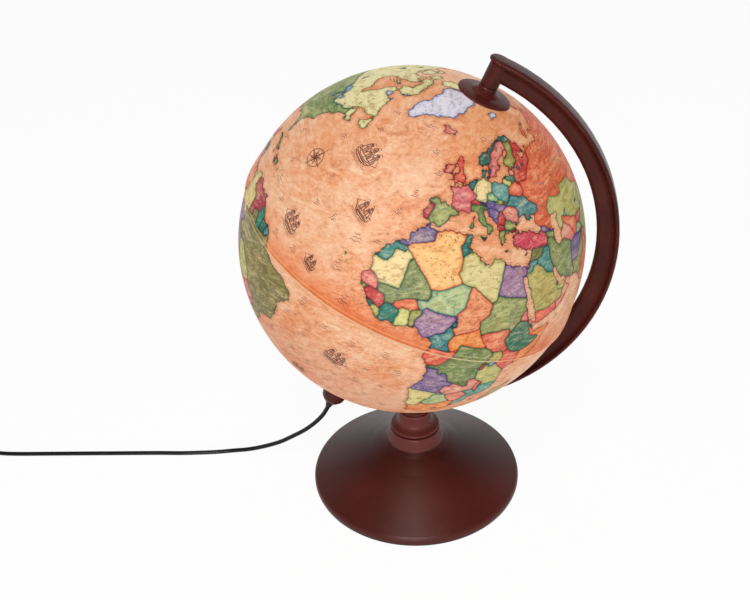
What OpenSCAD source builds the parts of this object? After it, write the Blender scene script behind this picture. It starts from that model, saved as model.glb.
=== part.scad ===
// Illuminated desk globe: a lit, tilted ball on a half arm, a short stem and a bell-shaped foot.
// Origin: centre of the underside of the felt pad. +Z is up, and the north pole leans towards +X.

/* [Globe] */
// Diameter of the ball
globe_d = 250; // [240:1:256]
// Height of the ball's centre above the table
globe_h = 224.6; // [223:0.1:236]
// Lean of the ball's axis from upright
tilt = 24.2; // [22:0.1:25]
// Wall of the two half shells
shell_t = 1.6; // [1.2:0.1:2.4]
// How far the northern half stands proud at the seam
north_lip = 1.5; // [0.4:0.1:1.8]
// Length over which the northern half swells towards the seam
north_run = 20; // [10:1:26]
// How far the southern half stands proud at the seam
south_lip = 0.8; // [0.3:0.1:1.4]
// Length over which the southern half swells towards the seam
south_run = 11; // [8:1:20]
// Open groove between the two halves
seam_gap = 0.8; // [0.4:0.1:1.4]
// Height of the hoop that joins the halves inside
hoop_h = 14; // [8:1:20]
// Wall of the joining hoop
hoop_t = 1.4; // [1:0.1:2.5]

/* [Arm] */
// Distance from the ball's surface to the arm's outer face, halfway along the arm
arm_gap = 21.4; // [20.5:0.1:24]
// Height of the arm's centre above the ball's centre
arm_rise = 5.6; // [4:0.2:6.4]
// Radial depth of the arm, flange and web together
arm_depth = 15.8; // [14:0.2:17]
// Width of the flange at the pole end
flange_tip_w = 15.6; // [14.4:0.2:18]
// Width of the flange at the foot end
flange_foot_w = 22.2; // [18:0.2:24]
// Thickness of the flange at its edges
flange_t = 3.2; // [2.5:0.1:4]
// Thickness of the web under the flange
web_t = 8.4; // [6:0.2:10]
// Diameter of the boss that holds the pole pin
boss_d = 12.6; // [11:0.2:14]
// Diameter of the arm's round foot
foot_d = 27.5; // [24.5:0.5:30]
// Distance from the underside of the ball down to the underside of the arm's foot
foot_drop = 27.7; // [26:0.1:30]

/* [Stem and base] */
// Diameter of the stem at its lower end
stem_d = 26.4; // [24:0.2:30]
// Height of the dark groove between stem and arm
groove_h = 2.6; // [1:0.1:3.5]
// Diameter of the base at its rim
base_d = 170; // [150:1:190]
// Height of the collar's seat for the stem
collar_h = 44; // [42:0.5:45]
// Diameter of the collar round the stem
collar_d = 39.6; // [36:0.2:46]
// Wall of the moulded base
base_wall = 3; // [2:0.2:4]
// Thickness of the felt pad
felt_t = 1.5; // [1:0.1:3]
// Diameter of the steel ballast plate
ballast_d = 124; // [110:1:140]
// Thickness of the steel ballast plate
ballast_t = 5; // [4:0.5:8]
// Diameter of the bolt that holds base, stem and arm together
bolt_d = 6; // [5:0.5:8]

/* [Pole bearing] */
// Diameter of the steel pole pin
pin_d = 5; // [4:0.5:6]
// Outer diameter of the bearing bush
bush_d = 8; // [7.2:0.2:9]
// Diameter of the flared north cap
cap_d = 38; // [34:0.5:44]
// Diameter of the neck that goes through the shell
neck_d = 17.6; // [15:0.2:20]
// Thickness of the friction washer under the boss
friction_t = 0.4; // [0.3:0.1:1.2]

/* [Lamp] */
// Diameter of the lamp opening in the south half
lamp_hole_d = 38; // [37:0.5:42]
// Bore of the collar that runs round the lamp cap
collar_bore = 32; // [30:0.5:33]
// Diameter of the lamp cap's flange
lamp_flange_d = 44; // [42:0.5:50]
// Length of the lamp cap below the ball's surface
lamp_cap_l = 43; // [38:0.5:50]
// Diameter of the lamp cap's round lower end
lamp_tip_d = 20; // [18:0.5:24]
// Wall of the lamp cap
lamp_wall = 2; // [1.6:0.1:2.4]
// Diameter of the bulb's glass
bulb_d = 28; // [24:0.5:29]
// Diameter of the bulb's screw base
bulb_base_d = 14; // [13:0.5:15]

/* [Cord] */
// Diameter of the round mains cord
cord_d = 3.6; // [3:0.1:4]
// Radius of the coil at the middle of its turns
coil_r = 19.5; // [18:0.5:24]
// Turns in the coil
coil_turns = 10.5; // [8.5:1:12.5]
// Step between neighbouring turns and layers
coil_step = 4.2; // [4.1:0.1:5]

/* [Cord switch and plug] */
// Length of the cord switch
switch_l = 58; // [50:1:70]
// Width of the cord switch
switch_w = 24; // [20:0.5:30]
// Height of the cord switch
switch_h = 16; // [14:0.5:20]
// Angle through which the rocker tips
rocker_travel = 20; // [12:1:24]
// Length of the plug's body
plug_l = 35; // [30:1:40]
// Width of the plug's body at the pins
plug_w = 35; // [32:0.5:36]
// Thickness of the plug's body
plug_t = 13.6; // [12:0.2:16]
// Distance between the plug's pins
pin_pitch = 18.6; // [17:0.2:19.2]

/* [Hidden] */

// Colours
brown = "#4a231d";
parchment = "#eebd8c";
steel = "#b9bcc0";
brass = "#c9a24a";
black = "#1b1a1a";
cream = "#efe9da";

// Clearances
slide = 0.05;       // radial, where one round part sits in another
seat = 0.1;         // between two shells that are glued or clamped
run_gap = 0.3;      // between the turning ball and what stands still
joint_gap = 0.4;    // between the lamp cap and the ball's surface

// Globe, in its own frame: centre at the origin and the north pole on +Z
globe_r = globe_d / 2;
shell_in = globe_r - shell_t;
neck_r = neck_d / 2;
lamp_hole_r = lamp_hole_d / 2;
function drop(r, rad) = sqrt(rad * rad - r * r);    // height of a sphere's surface at radius r
function swell(lat, lip, run) = let (u = min(1, globe_r * lat * PI / 180 / run))
    lip * (1 - u) * (1 - u) * (1 + 2 * u);
function on_ball(lat, rad) = [rad * cos(lat), rad * sin(lat)];

// Arm: its outer radius about the ball's centre, at an angle from +X towards +Z
arm_r = globe_r + arm_gap;
arm_shift = 1.3;    // the arm's centre lies this far outwards of the ball's centre
function arm_out(a) = arm_r + arm_shift * cos(a) + arm_rise * sin(a);
web_clear = 3.6;    // least gap between ball and web
function arm_in(a) = max(arm_out(a) - arm_depth, globe_r + web_clear);
pole_a = 90 - tilt;
foot_a = -93;
arm_rings = 46;
arm_top = arm_out(pole_a);          // outer face at the pole
end_r = flange_tip_w / 2 + 0.15;    // round end of the flange, just proud of its sides
boss_low = globe_r + 6.7;           // underside of the boss
foot_low = globe_h - globe_r - foot_drop;   // underside of the arm's foot

// Stem and base
stem_r = stem_d / 2;
stem_l = foot_low - groove_h - collar_h;    // from the stem's seat to its shoulder
foot_r = foot_d / 2;
spigot_r = foot_r - 2.5;
spigot_l = 2.8;                     // how far the spigot enters the arm's foot
base_r = base_d / 2;
collar_r = collar_d / 2;
rim_h = 3.6;
cone_r = collar_r + 7;              // where the cone meets the collar's cove
cone_h = collar_h - 6.6;
bolt_r = bolt_d / 2;
bolt_hole = bolt_r + 0.25;
hub_r = 11;
hub_low = 17;                       // underside of the hub inside the base
washer_t = 1.6;
bolt_head_h = 4;
insert_low = foot_low + spigot_l;
insert_l = 11;
insert_r = bolt_r + 1.6;
screw_ring = 46;                    // radius on which the ballast screws stand
screw_r = 1.75;
screw_head_r = 3.6;
screw_l = 14;                       // shank of the ballast screws

// Pole bearing, along the axis from the ball's centre
bush_r = bush_d / 2;
pin_r = pin_d / 2;
bead_top = boss_low - friction_t - 0.1;
bead_h = 2.4;
bead_r = boss_d / 2 + 0.2;
cap_r = cap_d / 2;
cap_edge = 1.5;                     // thickness of the cap at its rim
sleeve_l = 19;                      // from the ball's surface to the sleeve's lower end
sleeve_low = globe_r - sleeve_l;
pin_top = arm_top - flange_t - 1.5;
clip_t = 0.8;
thrust_t = 0.8;
thrust_top = sleeve_low - 0.2;
clip_top = thrust_top - thrust_t - slide;
pin_low = clip_top - clip_t - 1.6;

// Lamp unit, along the axis, south negative
cap_low = -globe_r - lamp_cap_l;    // lower end of the lamp cap
tip_r = lamp_tip_d / 2;
flange_r = lamp_flange_d / 2;
lamp_bore_r = collar_bore / 2;
spigot_out = lamp_bore_r - 0.1;     // runs in the collar
spigot_in = spigot_out - lamp_wall;
collar_top = -globe_r + 12;
collar_low = -drop(lamp_hole_r, globe_r);   // flush with the shell
ring_t = 1.2;
ring_low = collar_top + run_gap;
lamp_top = ring_low + ring_t + 1;
shelf_top = -globe_r - 11;
shelf_t = 2.4;
nipple_r = 5;
holder_r = 13;
holder_low = shelf_top + slide;
holder_top = holder_low + 38;
thread_r = bulb_base_d / 2 + 0.1;
base_low = holder_low + 14;
base_top = base_low + 20;
grip_top = cap_low + 17.5;
grip_low = cap_low - 5.5;
grip_hole_r = 3.8;
bulb_r = bulb_d / 2;

// World place of a point on the axis
function on_axis(z) = [z * sin(tilt), 0, globe_h + z * cos(tilt)];

// Cord route. The ring of points stays as chosen; only its ends follow what they meet.
cord_r = cord_d / 2;
cord_sides = 8;
lie = 1.9;                          // height of the cord's centre where it lies on the table
switch_end = -393;                  // the end of the switch that faces the globe
cord_y = -12;
entry_z = switch_h / 2;
exit_point = on_axis(grip_low);
coil_layers = 4;
coil_top = coil_turns / coil_layers;
leg = 360 * coil_top;               // angle turned in one layer
coil_x = switch_end - switch_l - 69;
coil_lift = 0.4;                    // room for the tie under the coil
coil_out = coil_r + coil_step * coil_top / 2;
coil_in = coil_r - coil_step * coil_top / 2;
coil_y = cord_y + coil_out;
coil_z = cord_r + coil_lift;
loop_rings = 24;
coil_sides = 6;
plug_entry_z = plug_t / 2 + 0.05;
plug_x = coil_x + 42;               // where the cord enters the plug
plug_y = coil_y + coil_out;
plug_boot_l = 20;

fall_top = on_axis(grip_low - 4);   // from here the cord falls to the table
fall_points = [                     // run from fall_top, place across, share of its height
    [-4.2, 1, 0.873], [-11.2, 2, 0.725], [-20.2, 3, 0.577], [-31.2, 5, 0.429], [-44.2, 7, 0.273],
    [-58.2, 9, 0.15], [-73.2, 10, 0.059], [-87.2, 10, 0.016]
];

run_points = concat(
    [exit_point, fall_top],
    [for (p = fall_points) [fall_top[0] + p[0], p[1], lie + (fall_top[2] - lie) * p[2]]],
    [
        [-174, 8, lie], [-190, 5.5, lie], [-206, 3.5, lie],
        [-225, 2, lie], [-245, 0, lie], [-265, -2, lie], [-285, -4, lie], [-305, -6, lie],
        [-325, -8, lie], [-345, -10, lie], [-362, -11, lie], [-374, -11.5, 3.6], [-384, -12, 6.6]
    ],
    [[switch_end + 4, cord_y, entry_z], [switch_end, cord_y, entry_z]]
);
link_points = [
    [switch_end - switch_l, cord_y, entry_z], [switch_end - switch_l - 4, cord_y, entry_z],
    [-466, -12, 5.6], [-478, -12, 3.6], [-492, -12, 2.5], [-505, -12, 2.2],
    [coil_x + 8, cord_y, coil_z], [coil_x + 4, cord_y, coil_z]
];
tail_points = [
    coil_point(360 * coil_turns) + [4, 0, 0], coil_point(360 * coil_turns) + [8, 0, 0],
    [-506, 38, 13.8], [-498, 38, 11.7], [-489, 38, 8.8],
    [plug_x - 4, plug_y, plug_entry_z], [plug_x, plug_y, plug_entry_z]
];

// Coil: turns clockwise from the south side, spirals in and out, and climbs where it reverses
function ease(t) = let (u = max(0, min(1, t))) u * u * (3 - 2 * u);
function zigzag(a) = let (k = floor(a / leg), f = a / leg - k) k % 2 == 0 ? f : 1 - f;
function coil_layer(a) = sum([for (k = [1:coil_layers - 1]) ease((a - k * leg) / 180 + 0.5)]);
function sum(v, i = 0) = i >= len(v) ? 0 : v[i] + sum(v, i + 1);
function coil_point(a) = let (r = coil_out - (coil_out - coil_in) * zigzag(min(a, coil_layers * leg - 0.001)))
    [coil_x - r * sin(a), coil_y - r * cos(a), coil_z + coil_step * coil_layer(a)];
coil_points = concat(
    [coil_point(0) + [4, 0, 0]],
    [for (i = [0:coil_turns * loop_rings]) coil_point(i * 360 / loop_rings)],
    [coil_point(360 * coil_turns) + [4, 0, 0]]
);

// Tube swept along a list of points, one ring at each
function unit(v) = v / norm(v);
function tangent(p, i) = i == 0 ? unit(p[1] - p[0])
    : i == len(p) - 1 ? unit(p[i] - p[i - 1])
    : unit(unit(p[i + 1] - p[i]) + unit(p[i] - p[i - 1]));
function tube_ring(p, i, r, sides) = let (
        t = tangent(p, i),
        side = unit(cross(t, [0, 0, 1])),
        up = cross(side, t)
    )
    [for (k = [0:sides - 1]) p[i] + r * (cos((k + 0.5) * 360 / sides) * side + sin((k + 0.5) * 360 / sides) * up)];
module tube(p, r, sides) {
    n = len(p);
    points = [for (i = [0:n - 1]) each tube_ring(p, i, r, sides)];
    walls = [for (i = [0:n - 2]) for (k = [0:sides - 1]) let (
            a = i * sides + k,
            b = i * sides + (k + 1) % sides
        ) each [[a, b + sides, b], [a, a + sides, b + sides]]];
    ends = [[for (k = [0:sides - 1]) k], [for (k = [sides - 1:-1:0]) (n - 1) * sides + k]];
    polyhedron(points = points, faces = concat(walls, ends), convexity = 10);
}

// Catmull-Rom curve through the route's points, with the given steps to each span
function spline(p, steps) = concat(
    [for (i = [0:len(p) - 2]) each [for (s = [0:steps - 1]) curve_at(p, i, s / steps)]],
    [p[len(p) - 1]]
);
function curve_at(p, i, t) = let (
        a = p[max(i - 1, 0)],
        b = p[i],
        c = p[i + 1],
        d = p[min(i + 2, len(p) - 1)]
    )
    0.5 * (2 * b + (c - a) * t + (2 * a - 5 * b + 4 * c - d) * t * t + (3 * b - a - 3 * c + d) * t * t * t);

function path_length(p, i = 1) = i >= len(p) ? 0 : norm(p[i] - p[i - 1]) + path_length(p, i + 1);
coil_gap = min([
    for (i = [0:len(coil_points) - 1])
        for (j = [i + loop_rings / 2:1:len(coil_points) - 1])
            norm(coil_points[i] - coil_points[j])
]) - cord_d;
echo(coil_gap = coil_gap);
echo(cord_length = path_length(spline(run_points, 2)) + switch_l + path_length(link_points)
    + path_length(coil_points) + path_length(tail_points));

// Frames
module globe_frame() translate([0, 0, globe_h]) rotate([0, tilt, 0]) children();
module turned(points, fn = 96) rotate_extrude($fn = fn) polygon(points);
module washer(r_in, r_out, low, high, fn = 64) translate([0, 0, low]) difference() {
    cylinder(r = r_out, h = high - low, $fn = fn);
    translate([0, 0, -1]) cylinder(r = r_in, h = high - low + 2, $fn = fn);
}

// Base
module felt_pad() color("#2b2a2c") cylinder(r = base_r - 0.6, h = felt_t, $fn = 128);

function base_outline(inset) = let (slope = (cone_h - felt_t - rim_h - 2) / (base_r - 2.4 - cone_r)) [
    [base_r - inset, felt_t],
    [base_r - inset, felt_t + rim_h - 1.2],
    [base_r - 0.5 - inset, felt_t + rim_h + 0.4],
    [base_r - 1.3 - inset, felt_t + rim_h + 1.3 - inset * 0.3],
    [base_r - 2.4 - inset, felt_t + rim_h + 2 - inset],
    [cone_r + 12, cone_h - 12 * slope - 0.6 - inset],
    [cone_r, cone_h - inset],
    [cone_r - 3.4, cone_h + 2.6 - inset],
    [cone_r - 5.4, cone_h + 4.8 - inset]
];
module base_shell() color(brown) difference() {
    union() {
        difference() {
            turned(concat([[0, felt_t]], base_outline(0), [
                [collar_r - 0.1, collar_h - 0.6],
                [collar_r - 0.5, collar_h + 0.7],
                [collar_r - 1.6, collar_h + 1.5],
                [stem_r + 1.4, collar_h + 1.6],
                [stem_r + 0.4, collar_h + 1.1],
                [stem_r + 0.4, collar_h],
                [0, collar_h]
            ]), 128);
            turned(concat([[0, felt_t - 1]], [[base_r - base_wall, felt_t - 1]],
                base_outline(base_wall), [[collar_r - base_wall, collar_h - 4], [0, collar_h - 4]]), 128);
        }
        translate([0, 0, hub_low]) cylinder(r = hub_r, h = collar_h - hub_low - 2, $fn = 64);
        base_ribs();
    }
    translate([0, 0, hub_low - 1]) cylinder(r = bolt_hole, h = collar_h, $fn = 48);
    for (a = [30:120:270]) rotate(a) translate([screw_ring, 0, felt_t]) cylinder(r = screw_r - 0.15, h = screw_l + 4, $fn = 24);
}
// Posts for the ballast screws, each on a rib that runs out from the hub under the cone
module base_ribs() intersection() {
    union() {
        for (a = [30:120:270]) rotate(a) translate([screw_ring, 0, felt_t + ballast_t + slide])
            cylinder(r = 5, h = 40, $fn = 32);
        for (a = [30:60:330]) rotate(a) translate([hub_r - 1, -0.9, hub_low]) cube([base_r, 1.8, collar_h]);
    }
    turned(concat([[0, felt_t]], base_outline(base_wall / 2), [[0, collar_h - 4]]), 128);
}
module ballast_plate() color("#6d7074") difference() {
    washer(hub_r + 9, ballast_d / 2, felt_t + slide, felt_t + ballast_t, 96);
    for (a = [30:120:270]) rotate(a) translate([screw_ring, 0, 0]) {
        cylinder(r = screw_r + 0.2, h = felt_t + ballast_t + 2, $fn = 32);
        cylinder(r = screw_head_r + 0.3, h = felt_t + 2.8, $fn = 32);
    }
}
module ballast_screws() color(steel)
    for (a = [30:120:270]) rotate(a) translate([screw_ring, 0, 0]) {
        translate([0, 0, felt_t + 0.2]) difference() {
            cylinder(r = screw_head_r, h = 2.5, $fn = 32);
            translate([-3, -0.5, -1]) cube([6, 1, 2]);
        }
        translate([0, 0, felt_t + 2.6]) cylinder(r = screw_r - 0.2, h = screw_l, $fn = 24);
    }

// Stem, with a shallow waist and a spigot for the arm's foot
function stem_at(t) = collar_h + stem_l * t;
module stem() color(brown) difference() {
    turned([
        [0, collar_h], [stem_r, collar_h], [stem_r, stem_at(0.087)], [stem_r - 0.5, stem_at(0.126)],
        [stem_r - 0.5, stem_at(0.4)], [stem_r - 0.1, stem_at(0.67)], [foot_r - 0.3, stem_at(0.92)],
        [foot_r - 0.4, stem_at(0.968)], [foot_r - 1.2, stem_at(1)],
        [spigot_r, collar_h + stem_l], [spigot_r, foot_low + spigot_l - slide], [0, foot_low + spigot_l - slide]
    ]);
    translate([0, 0, collar_h - 1]) cylinder(r = bolt_hole, h = stem_l + 10, $fn = 48);
}
module stem_washer() color(steel) washer(bolt_r + 0.15, 9, hub_low - washer_t, hub_low);
module stem_bolt() color(steel) union() {
    translate([0, 0, hub_low - washer_t - bolt_head_h]) cylinder(r = bolt_d * 0.96, h = bolt_head_h, $fn = 6);
    translate([0, 0, hub_low - washer_t - 1])
        cylinder(r = bolt_r, h = insert_low + insert_l - hub_low + washer_t, $fn = 48);
}
module foot_insert() color(brass) difference() {
    washer(bolt_r + slide, insert_r, insert_low, insert_low + insert_l, 48);
    washer(insert_r - 0.5, insert_r + 1, insert_low + 4.5, insert_low + 6, 48);
}

// Arm: a flange with a narrower web, lofted along its curve and widening towards the foot
function arm_section(a) = let (
        s = (pole_a - a) / (pole_a - foot_a),
        w = (flange_tip_w + (flange_foot_w - flange_tip_w) * s) / 2,
        h = web_t / 2,
        o = arm_out(a),
        i = arm_in(a),
        half = [
            [o, 0], [o - 0.2, w - 2.4], [o - 0.6, w - 1.1], [o - 1.4, w - 0.2], [o - flange_t + 1, w],
            [o - flange_t + 0.2, w - 0.5], [o - flange_t, w - 1.6], [o - flange_t - 0.5, h + 2.2],
            [o - flange_t - 1.6, h + 0.8], [o - flange_t - 3.4, h], [i + 2.6, h - 0.3],
            [i + 0.9, h - 1.2], [i + 0.2, h - 2.4]
        ]
    )
    concat(half, [[i, 0]], [for (k = [len(half) - 1:-1:1]) [half[k][0], -half[k][1]]]);
module arm_loft() {
    rings = [for (k = [0:arm_rings - 1]) pole_a + (foot_a - pole_a) * k / (arm_rings - 1)];
    m = len(arm_section(0));
    points = [for (a = rings) for (p = arm_section(a)) [p[0] * cos(a), p[1], globe_h + p[0] * sin(a)]];
    walls = [for (k = [0:arm_rings - 2]) for (j = [0:m - 1]) let (
            a = k * m + j,
            b = k * m + (j + 1) % m
        ) each [[a, b, b + m], [a, b + m, a + m]]];
    ends = [[for (j = [m - 1:-1:0]) j], [for (j = [0:m - 1]) (arm_rings - 1) * m + j]];
    polyhedron(points = points, faces = concat(walls, ends), convexity = 10);
}
module arm() color(brown) difference() {
    union() {
        arm_loft();
        globe_frame() turned([
            [0, boss_low], [boss_d / 2 - 0.4, boss_low], [boss_d / 2, boss_low + 0.5],
            [boss_d / 2, arm_top - flange_t - 0.9], [boss_d / 2 + 0.7, arm_top - flange_t - 0.3],
            [end_r - 0.9, arm_top - flange_t - 0.2], [end_r, arm_top - flange_t + 0.8],
            [end_r - 0.1, arm_top - 1.4], [end_r - 1, arm_top - 0.5], [end_r - 2.4, arm_top - 0.1], [0, arm_top + 0.15]
        ], 64);
        difference() {
            turned([
                [0, foot_low], [foot_r - 1, foot_low], [foot_r, foot_low + 0.9], [foot_r, foot_low + 5],
                [foot_r - 0.8, foot_low + 8], [foot_r - 0.8, globe_h - globe_r], [0, globe_h - globe_r]
            ]);
            translate([0, 0, globe_h]) sphere(r = globe_r + web_clear - 0.4, $fn = 96);
        }
    }
    globe_frame() translate([0, 0, boss_low - 1]) cylinder(r = pin_r + slide, h = pin_top - boss_low + 1.2, $fn = 48);
    translate([0, 0, foot_low - 1]) cylinder(r = spigot_r + slide, h = spigot_l + 1, $fn = 64);
    translate([0, 0, foot_low]) cylinder(r = insert_r + slide, h = spigot_l + insert_l + 0.5, $fn = 48);
}

// Pole bearing
module pole_pin() color(steel) globe_frame() turned([
    [0, pin_low], [pin_r - 0.5, pin_low], [pin_r, pin_low + 0.5], [pin_r, pin_top - 0.5],
    [pin_r - 0.5, pin_top], [0, pin_top]
], 48);
module friction_washer() color(black) globe_frame()
    washer(pin_r + 0.1, boss_d / 2 - 1.2, boss_low - 0.05 - friction_t, boss_low - 0.05);
module thrust_washer() color(steel) globe_frame()
    washer(pin_r + slide, bush_r + 3, thrust_top - thrust_t, thrust_top);
module pole_clip() color("#8d9196") globe_frame() difference() {
    washer(pin_r + 0.02, pin_r + 2.4, clip_top - clip_t, clip_top, 48);
    for (a = [0:60:300]) rotate(a) translate([pin_r + 1.5, -0.4, clip_top - 2]) cube([3, 0.8, 4]);
}
module north_cap() color(brown) globe_frame() difference() {
    turned([
        [0, sleeve_low], [neck_r - 0.8, sleeve_low], [neck_r, sleeve_low + 0.8], [neck_r, drop(neck_r, globe_r) + seat],
        [(neck_r + cap_r) / 2, drop((neck_r + cap_r) / 2, globe_r) + seat],
        [cap_r - 0.8, drop(cap_r - 0.8, globe_r) + seat], [cap_r, drop(cap_r, globe_r) + 0.5],
        [cap_r - 0.1, drop(cap_r, globe_r) + cap_edge - 0.3], [cap_r - 0.7, drop(cap_r, globe_r) + cap_edge + 0.2],
        [cap_r * 0.78, drop(cap_r, globe_r) + cap_edge + 0.9], [cap_r * 0.55, drop(cap_r, globe_r) + cap_edge + 1.5],
        [bead_r + 1.4, bead_top - bead_h - 0.9], [bead_r - 0.3, bead_top - bead_h - 0.3],
        [bead_r - 0.5, bead_top - bead_h], [bead_r - 0.1, bead_top - bead_h + 0.3], [bead_r, bead_top - bead_h + 0.8],
        [bead_r, bead_top - 0.8], [bead_r - 0.5, bead_top], [0, bead_top]
    ]);
    translate([0, 0, sleeve_low - 1]) cylinder(r = bush_r + slide, h = bead_top - sleeve_low - 1, $fn = 64);
    cylinder(r = pin_r + 0.3, h = globe_r + 20, $fn = 48);
}
module pole_bush() color(cream) globe_frame()
    washer(pin_r + slide, bush_r, sleeve_low, bead_top - 2.1);
module north_nut() color(cream) globe_frame() difference() {
    turned([
        [neck_r + slide, drop(neck_r, shell_in) - seat], [cap_r - 3, drop(cap_r - 3, shell_in) - seat],
        [cap_r - 3, drop(cap_r - 3, shell_in) - 2.4], [cap_r - 6, drop(cap_r - 3, shell_in) - 5.5],
        [neck_r + slide, drop(cap_r - 3, shell_in) - 5.5]
    ]);
    for (a = [0:30:330]) rotate(a) translate([cap_r - 4.2, -0.9, sleeve_low + 5]) cube([3, 1.8, globe_r - sleeve_low - 10.4]);
}

// The two halves, each a turned shell that swells a little towards the seam
function half_outline(hole_r, lip, run, steps) = let (
        out_low = asin(seam_gap / 2 / globe_r),
        out_high = acos(hole_r / globe_r),
        in_low = asin(seam_gap / 2 / shell_in),
        in_high = acos(hole_r / shell_in)
    )
    concat(
        [for (k = [0:steps]) let (lat = out_low + (out_high - out_low) * pow(k / steps, 1.3))
            on_ball(lat, globe_r + swell(lat, lip, run))],
        [for (k = [steps:-1:0]) on_ball(in_low + (in_high - in_low) * k / steps, shell_in)]
    );
module north_shell() color(parchment) globe_frame()
    turned(half_outline(neck_r + slide, north_lip, north_run, 32), 128);
module south_shell() color(parchment) globe_frame() mirror([0, 0, 1])
    turned(half_outline(lamp_hole_r, south_lip, south_run, 30), 128);
function hoop_outer(z) = sqrt(shell_in * shell_in - z * z) - seat;
module equator_hoop() color(cream) globe_frame() turned([
    for (z = [-hoop_h / 2, -hoop_h / 4, slide - seam_gap / 2]) [hoop_outer(z), z],
    each [[globe_r - 0.8, slide - seam_gap / 2], [globe_r - 0.8, seam_gap / 2 - slide]],
    for (z = [seam_gap / 2 - slide, hoop_h / 4, hoop_h / 2]) [hoop_outer(z), z],
    each [[hoop_outer(hoop_h / 2) - hoop_t, hoop_h / 2], [hoop_outer(hoop_h / 2) - hoop_t, -hoop_h / 2]]
], 128);
module south_collar() color(cream) globe_frame() turned([
    [lamp_bore_r, collar_low], [lamp_hole_r - slide, collar_low],
    [lamp_hole_r - slide, seat - drop(lamp_hole_r, shell_in)],
    [lamp_hole_r + 4, seat - drop(lamp_hole_r + 4, shell_in)],
    [lamp_hole_r + 4, seat + 2 - drop(lamp_hole_r + 4, shell_in)],
    [lamp_hole_r, collar_top - 4], [lamp_bore_r + 2.4, collar_top], [lamp_bore_r, collar_top]
]);

// Lamp cap: a bell with a round end, whose spigot stands still inside the turning collar
module lamp_cap() color(brown) globe_frame() difference() {
    turned([
        [0, cap_low], [tip_r * 0.38, cap_low + tip_r * 0.08], [tip_r * 0.71, cap_low + tip_r * 0.3],
        [tip_r * 0.92, cap_low + tip_r * 0.61], [tip_r, cap_low + tip_r], [tip_r + 0.6, cap_low + 16],
        [tip_r + 2.4, cap_low + 23], [tip_r + 5.4, cap_low + 30], [tip_r + 8.6, cap_low + 35],
        [flange_r - 0.8, -globe_r - 2.6], [flange_r, -globe_r - 1.9], [flange_r, -drop(flange_r, globe_r) - joint_gap],
        [lamp_hole_r, collar_low - joint_gap], [spigot_out, collar_low - joint_gap], [spigot_out, lamp_top], [spigot_in, lamp_top], [spigot_in, shelf_top],
        [0, shelf_top]
    ]);
    turned([
        [0, grip_top - 2], [tip_r - lamp_wall - 0.6, grip_top - 6], [tip_r - lamp_wall, cap_low + 16],
        [tip_r + 1.6, shelf_top - shelf_t - 3], [tip_r + 1.6, shelf_top - shelf_t], [0, shelf_top - shelf_t]
    ]);
    translate([0, 0, cap_low - 1]) cylinder(r = grip_hole_r, h = lamp_cap_l, $fn = 48);
    translate([0, 0, shelf_top - shelf_t - 1]) cylinder(r = nipple_r + slide, h = 6, $fn = 48);
    washer(spigot_out - 0.8, spigot_out + 2, ring_low - slide, ring_low + ring_t + slide);
}
module lamp_ring() color(steel) globe_frame() difference() {
    washer(spigot_out - 0.75, lamp_bore_r + 1.6, ring_low, ring_low + ring_t);
    translate([0, -1.5, ring_low - 1]) cube([30, 3, 4]);
}
module holder_body() color(cream) globe_frame() difference() {
    turned([
        [0, holder_low], [holder_r - 2, holder_low], [holder_r - 0.4, holder_low + 2], [holder_r - 0.4, holder_low + 18],
        [holder_r - 1.4, holder_low + 20], [holder_r - 2.6, holder_low + 22], [holder_r - 2.6, holder_top - 1],
        [holder_r - 3.6, holder_top], [0, holder_top]
    ], 64);
    translate([0, 0, holder_low + 8]) cylinder(r = thread_r + 0.6 + slide, h = 60, $fn = 64);
    translate([0, 0, holder_low - 1]) cylinder(r = nipple_r + slide, h = 7, $fn = 48);
    translate([0, 0, holder_low]) cylinder(r = 2.4, h = 10, $fn = 32);
}
module holder_thread() color(brass) globe_frame()
    washer(thread_r, thread_r + 0.6, holder_low + 12, holder_top - 3);
module holder_contact() color(brass) globe_frame() union() {
    translate([0, 0, holder_low + 8]) cylinder(r = 4, h = 1.2, $fn = 32);
    translate([0, 0, holder_low + 9]) cylinder(r = 1.8, h = base_low - holder_low - 9.2, $fn = 32);
}
module holder_nipple() color(brass) globe_frame() washer(3.4, nipple_r, shelf_top - shelf_t - 5, holder_low + 5.5, 48);
module nipple_nut() color(brass) globe_frame() difference() {
    translate([0, 0, shelf_top - shelf_t - 3.2]) cylinder(r = 8, h = 3.15, $fn = 6);
    translate([0, 0, shelf_top - shelf_t - 5]) cylinder(r = nipple_r + slide, h = 8, $fn = 48);
}
module bulb_base() color("#c8cacc") globe_frame() difference() {
    turned([
        [0, base_low], [2.2, base_low], [3.2, base_low + 1.2], [bulb_base_d / 2 - 1.2, base_low + 2.6],
        [bulb_base_d / 2, base_low + 4], [bulb_base_d / 2, base_top], [0, base_top]
    ], 64);
    translate([0, 0, base_low + 5]) cylinder(r = bulb_base_d / 2 - 0.5, h = 30, $fn = 64);
}
module bulb_outline(inset, low) turned([
    [0, low], [bulb_base_d / 2 - 0.6 - inset, low], [bulb_base_d / 2 - 0.6 - inset, base_top + 3],
    [bulb_r * 0.62 - inset, base_top + 10], [bulb_r * 0.86 - inset, base_top + 17], [bulb_r - inset, base_top + 25],
    [bulb_r * 0.985 - inset, base_top + 29], [bulb_r * 0.88 - inset, base_top + 33.5],
    [bulb_r * 0.66 - inset, base_top + 36.8 - inset * 0.4], [bulb_r * 0.35 - inset * 0.5, base_top + 38.6 - inset],
    [0, base_top + 39.2 - inset]
], 64);
module bulb_glass() color([0.95, 0.93, 0.86, 0.5]) globe_frame() difference() {
    bulb_outline(0, base_top - 6);
    bulb_outline(0.7, base_top - 7);
}
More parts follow.
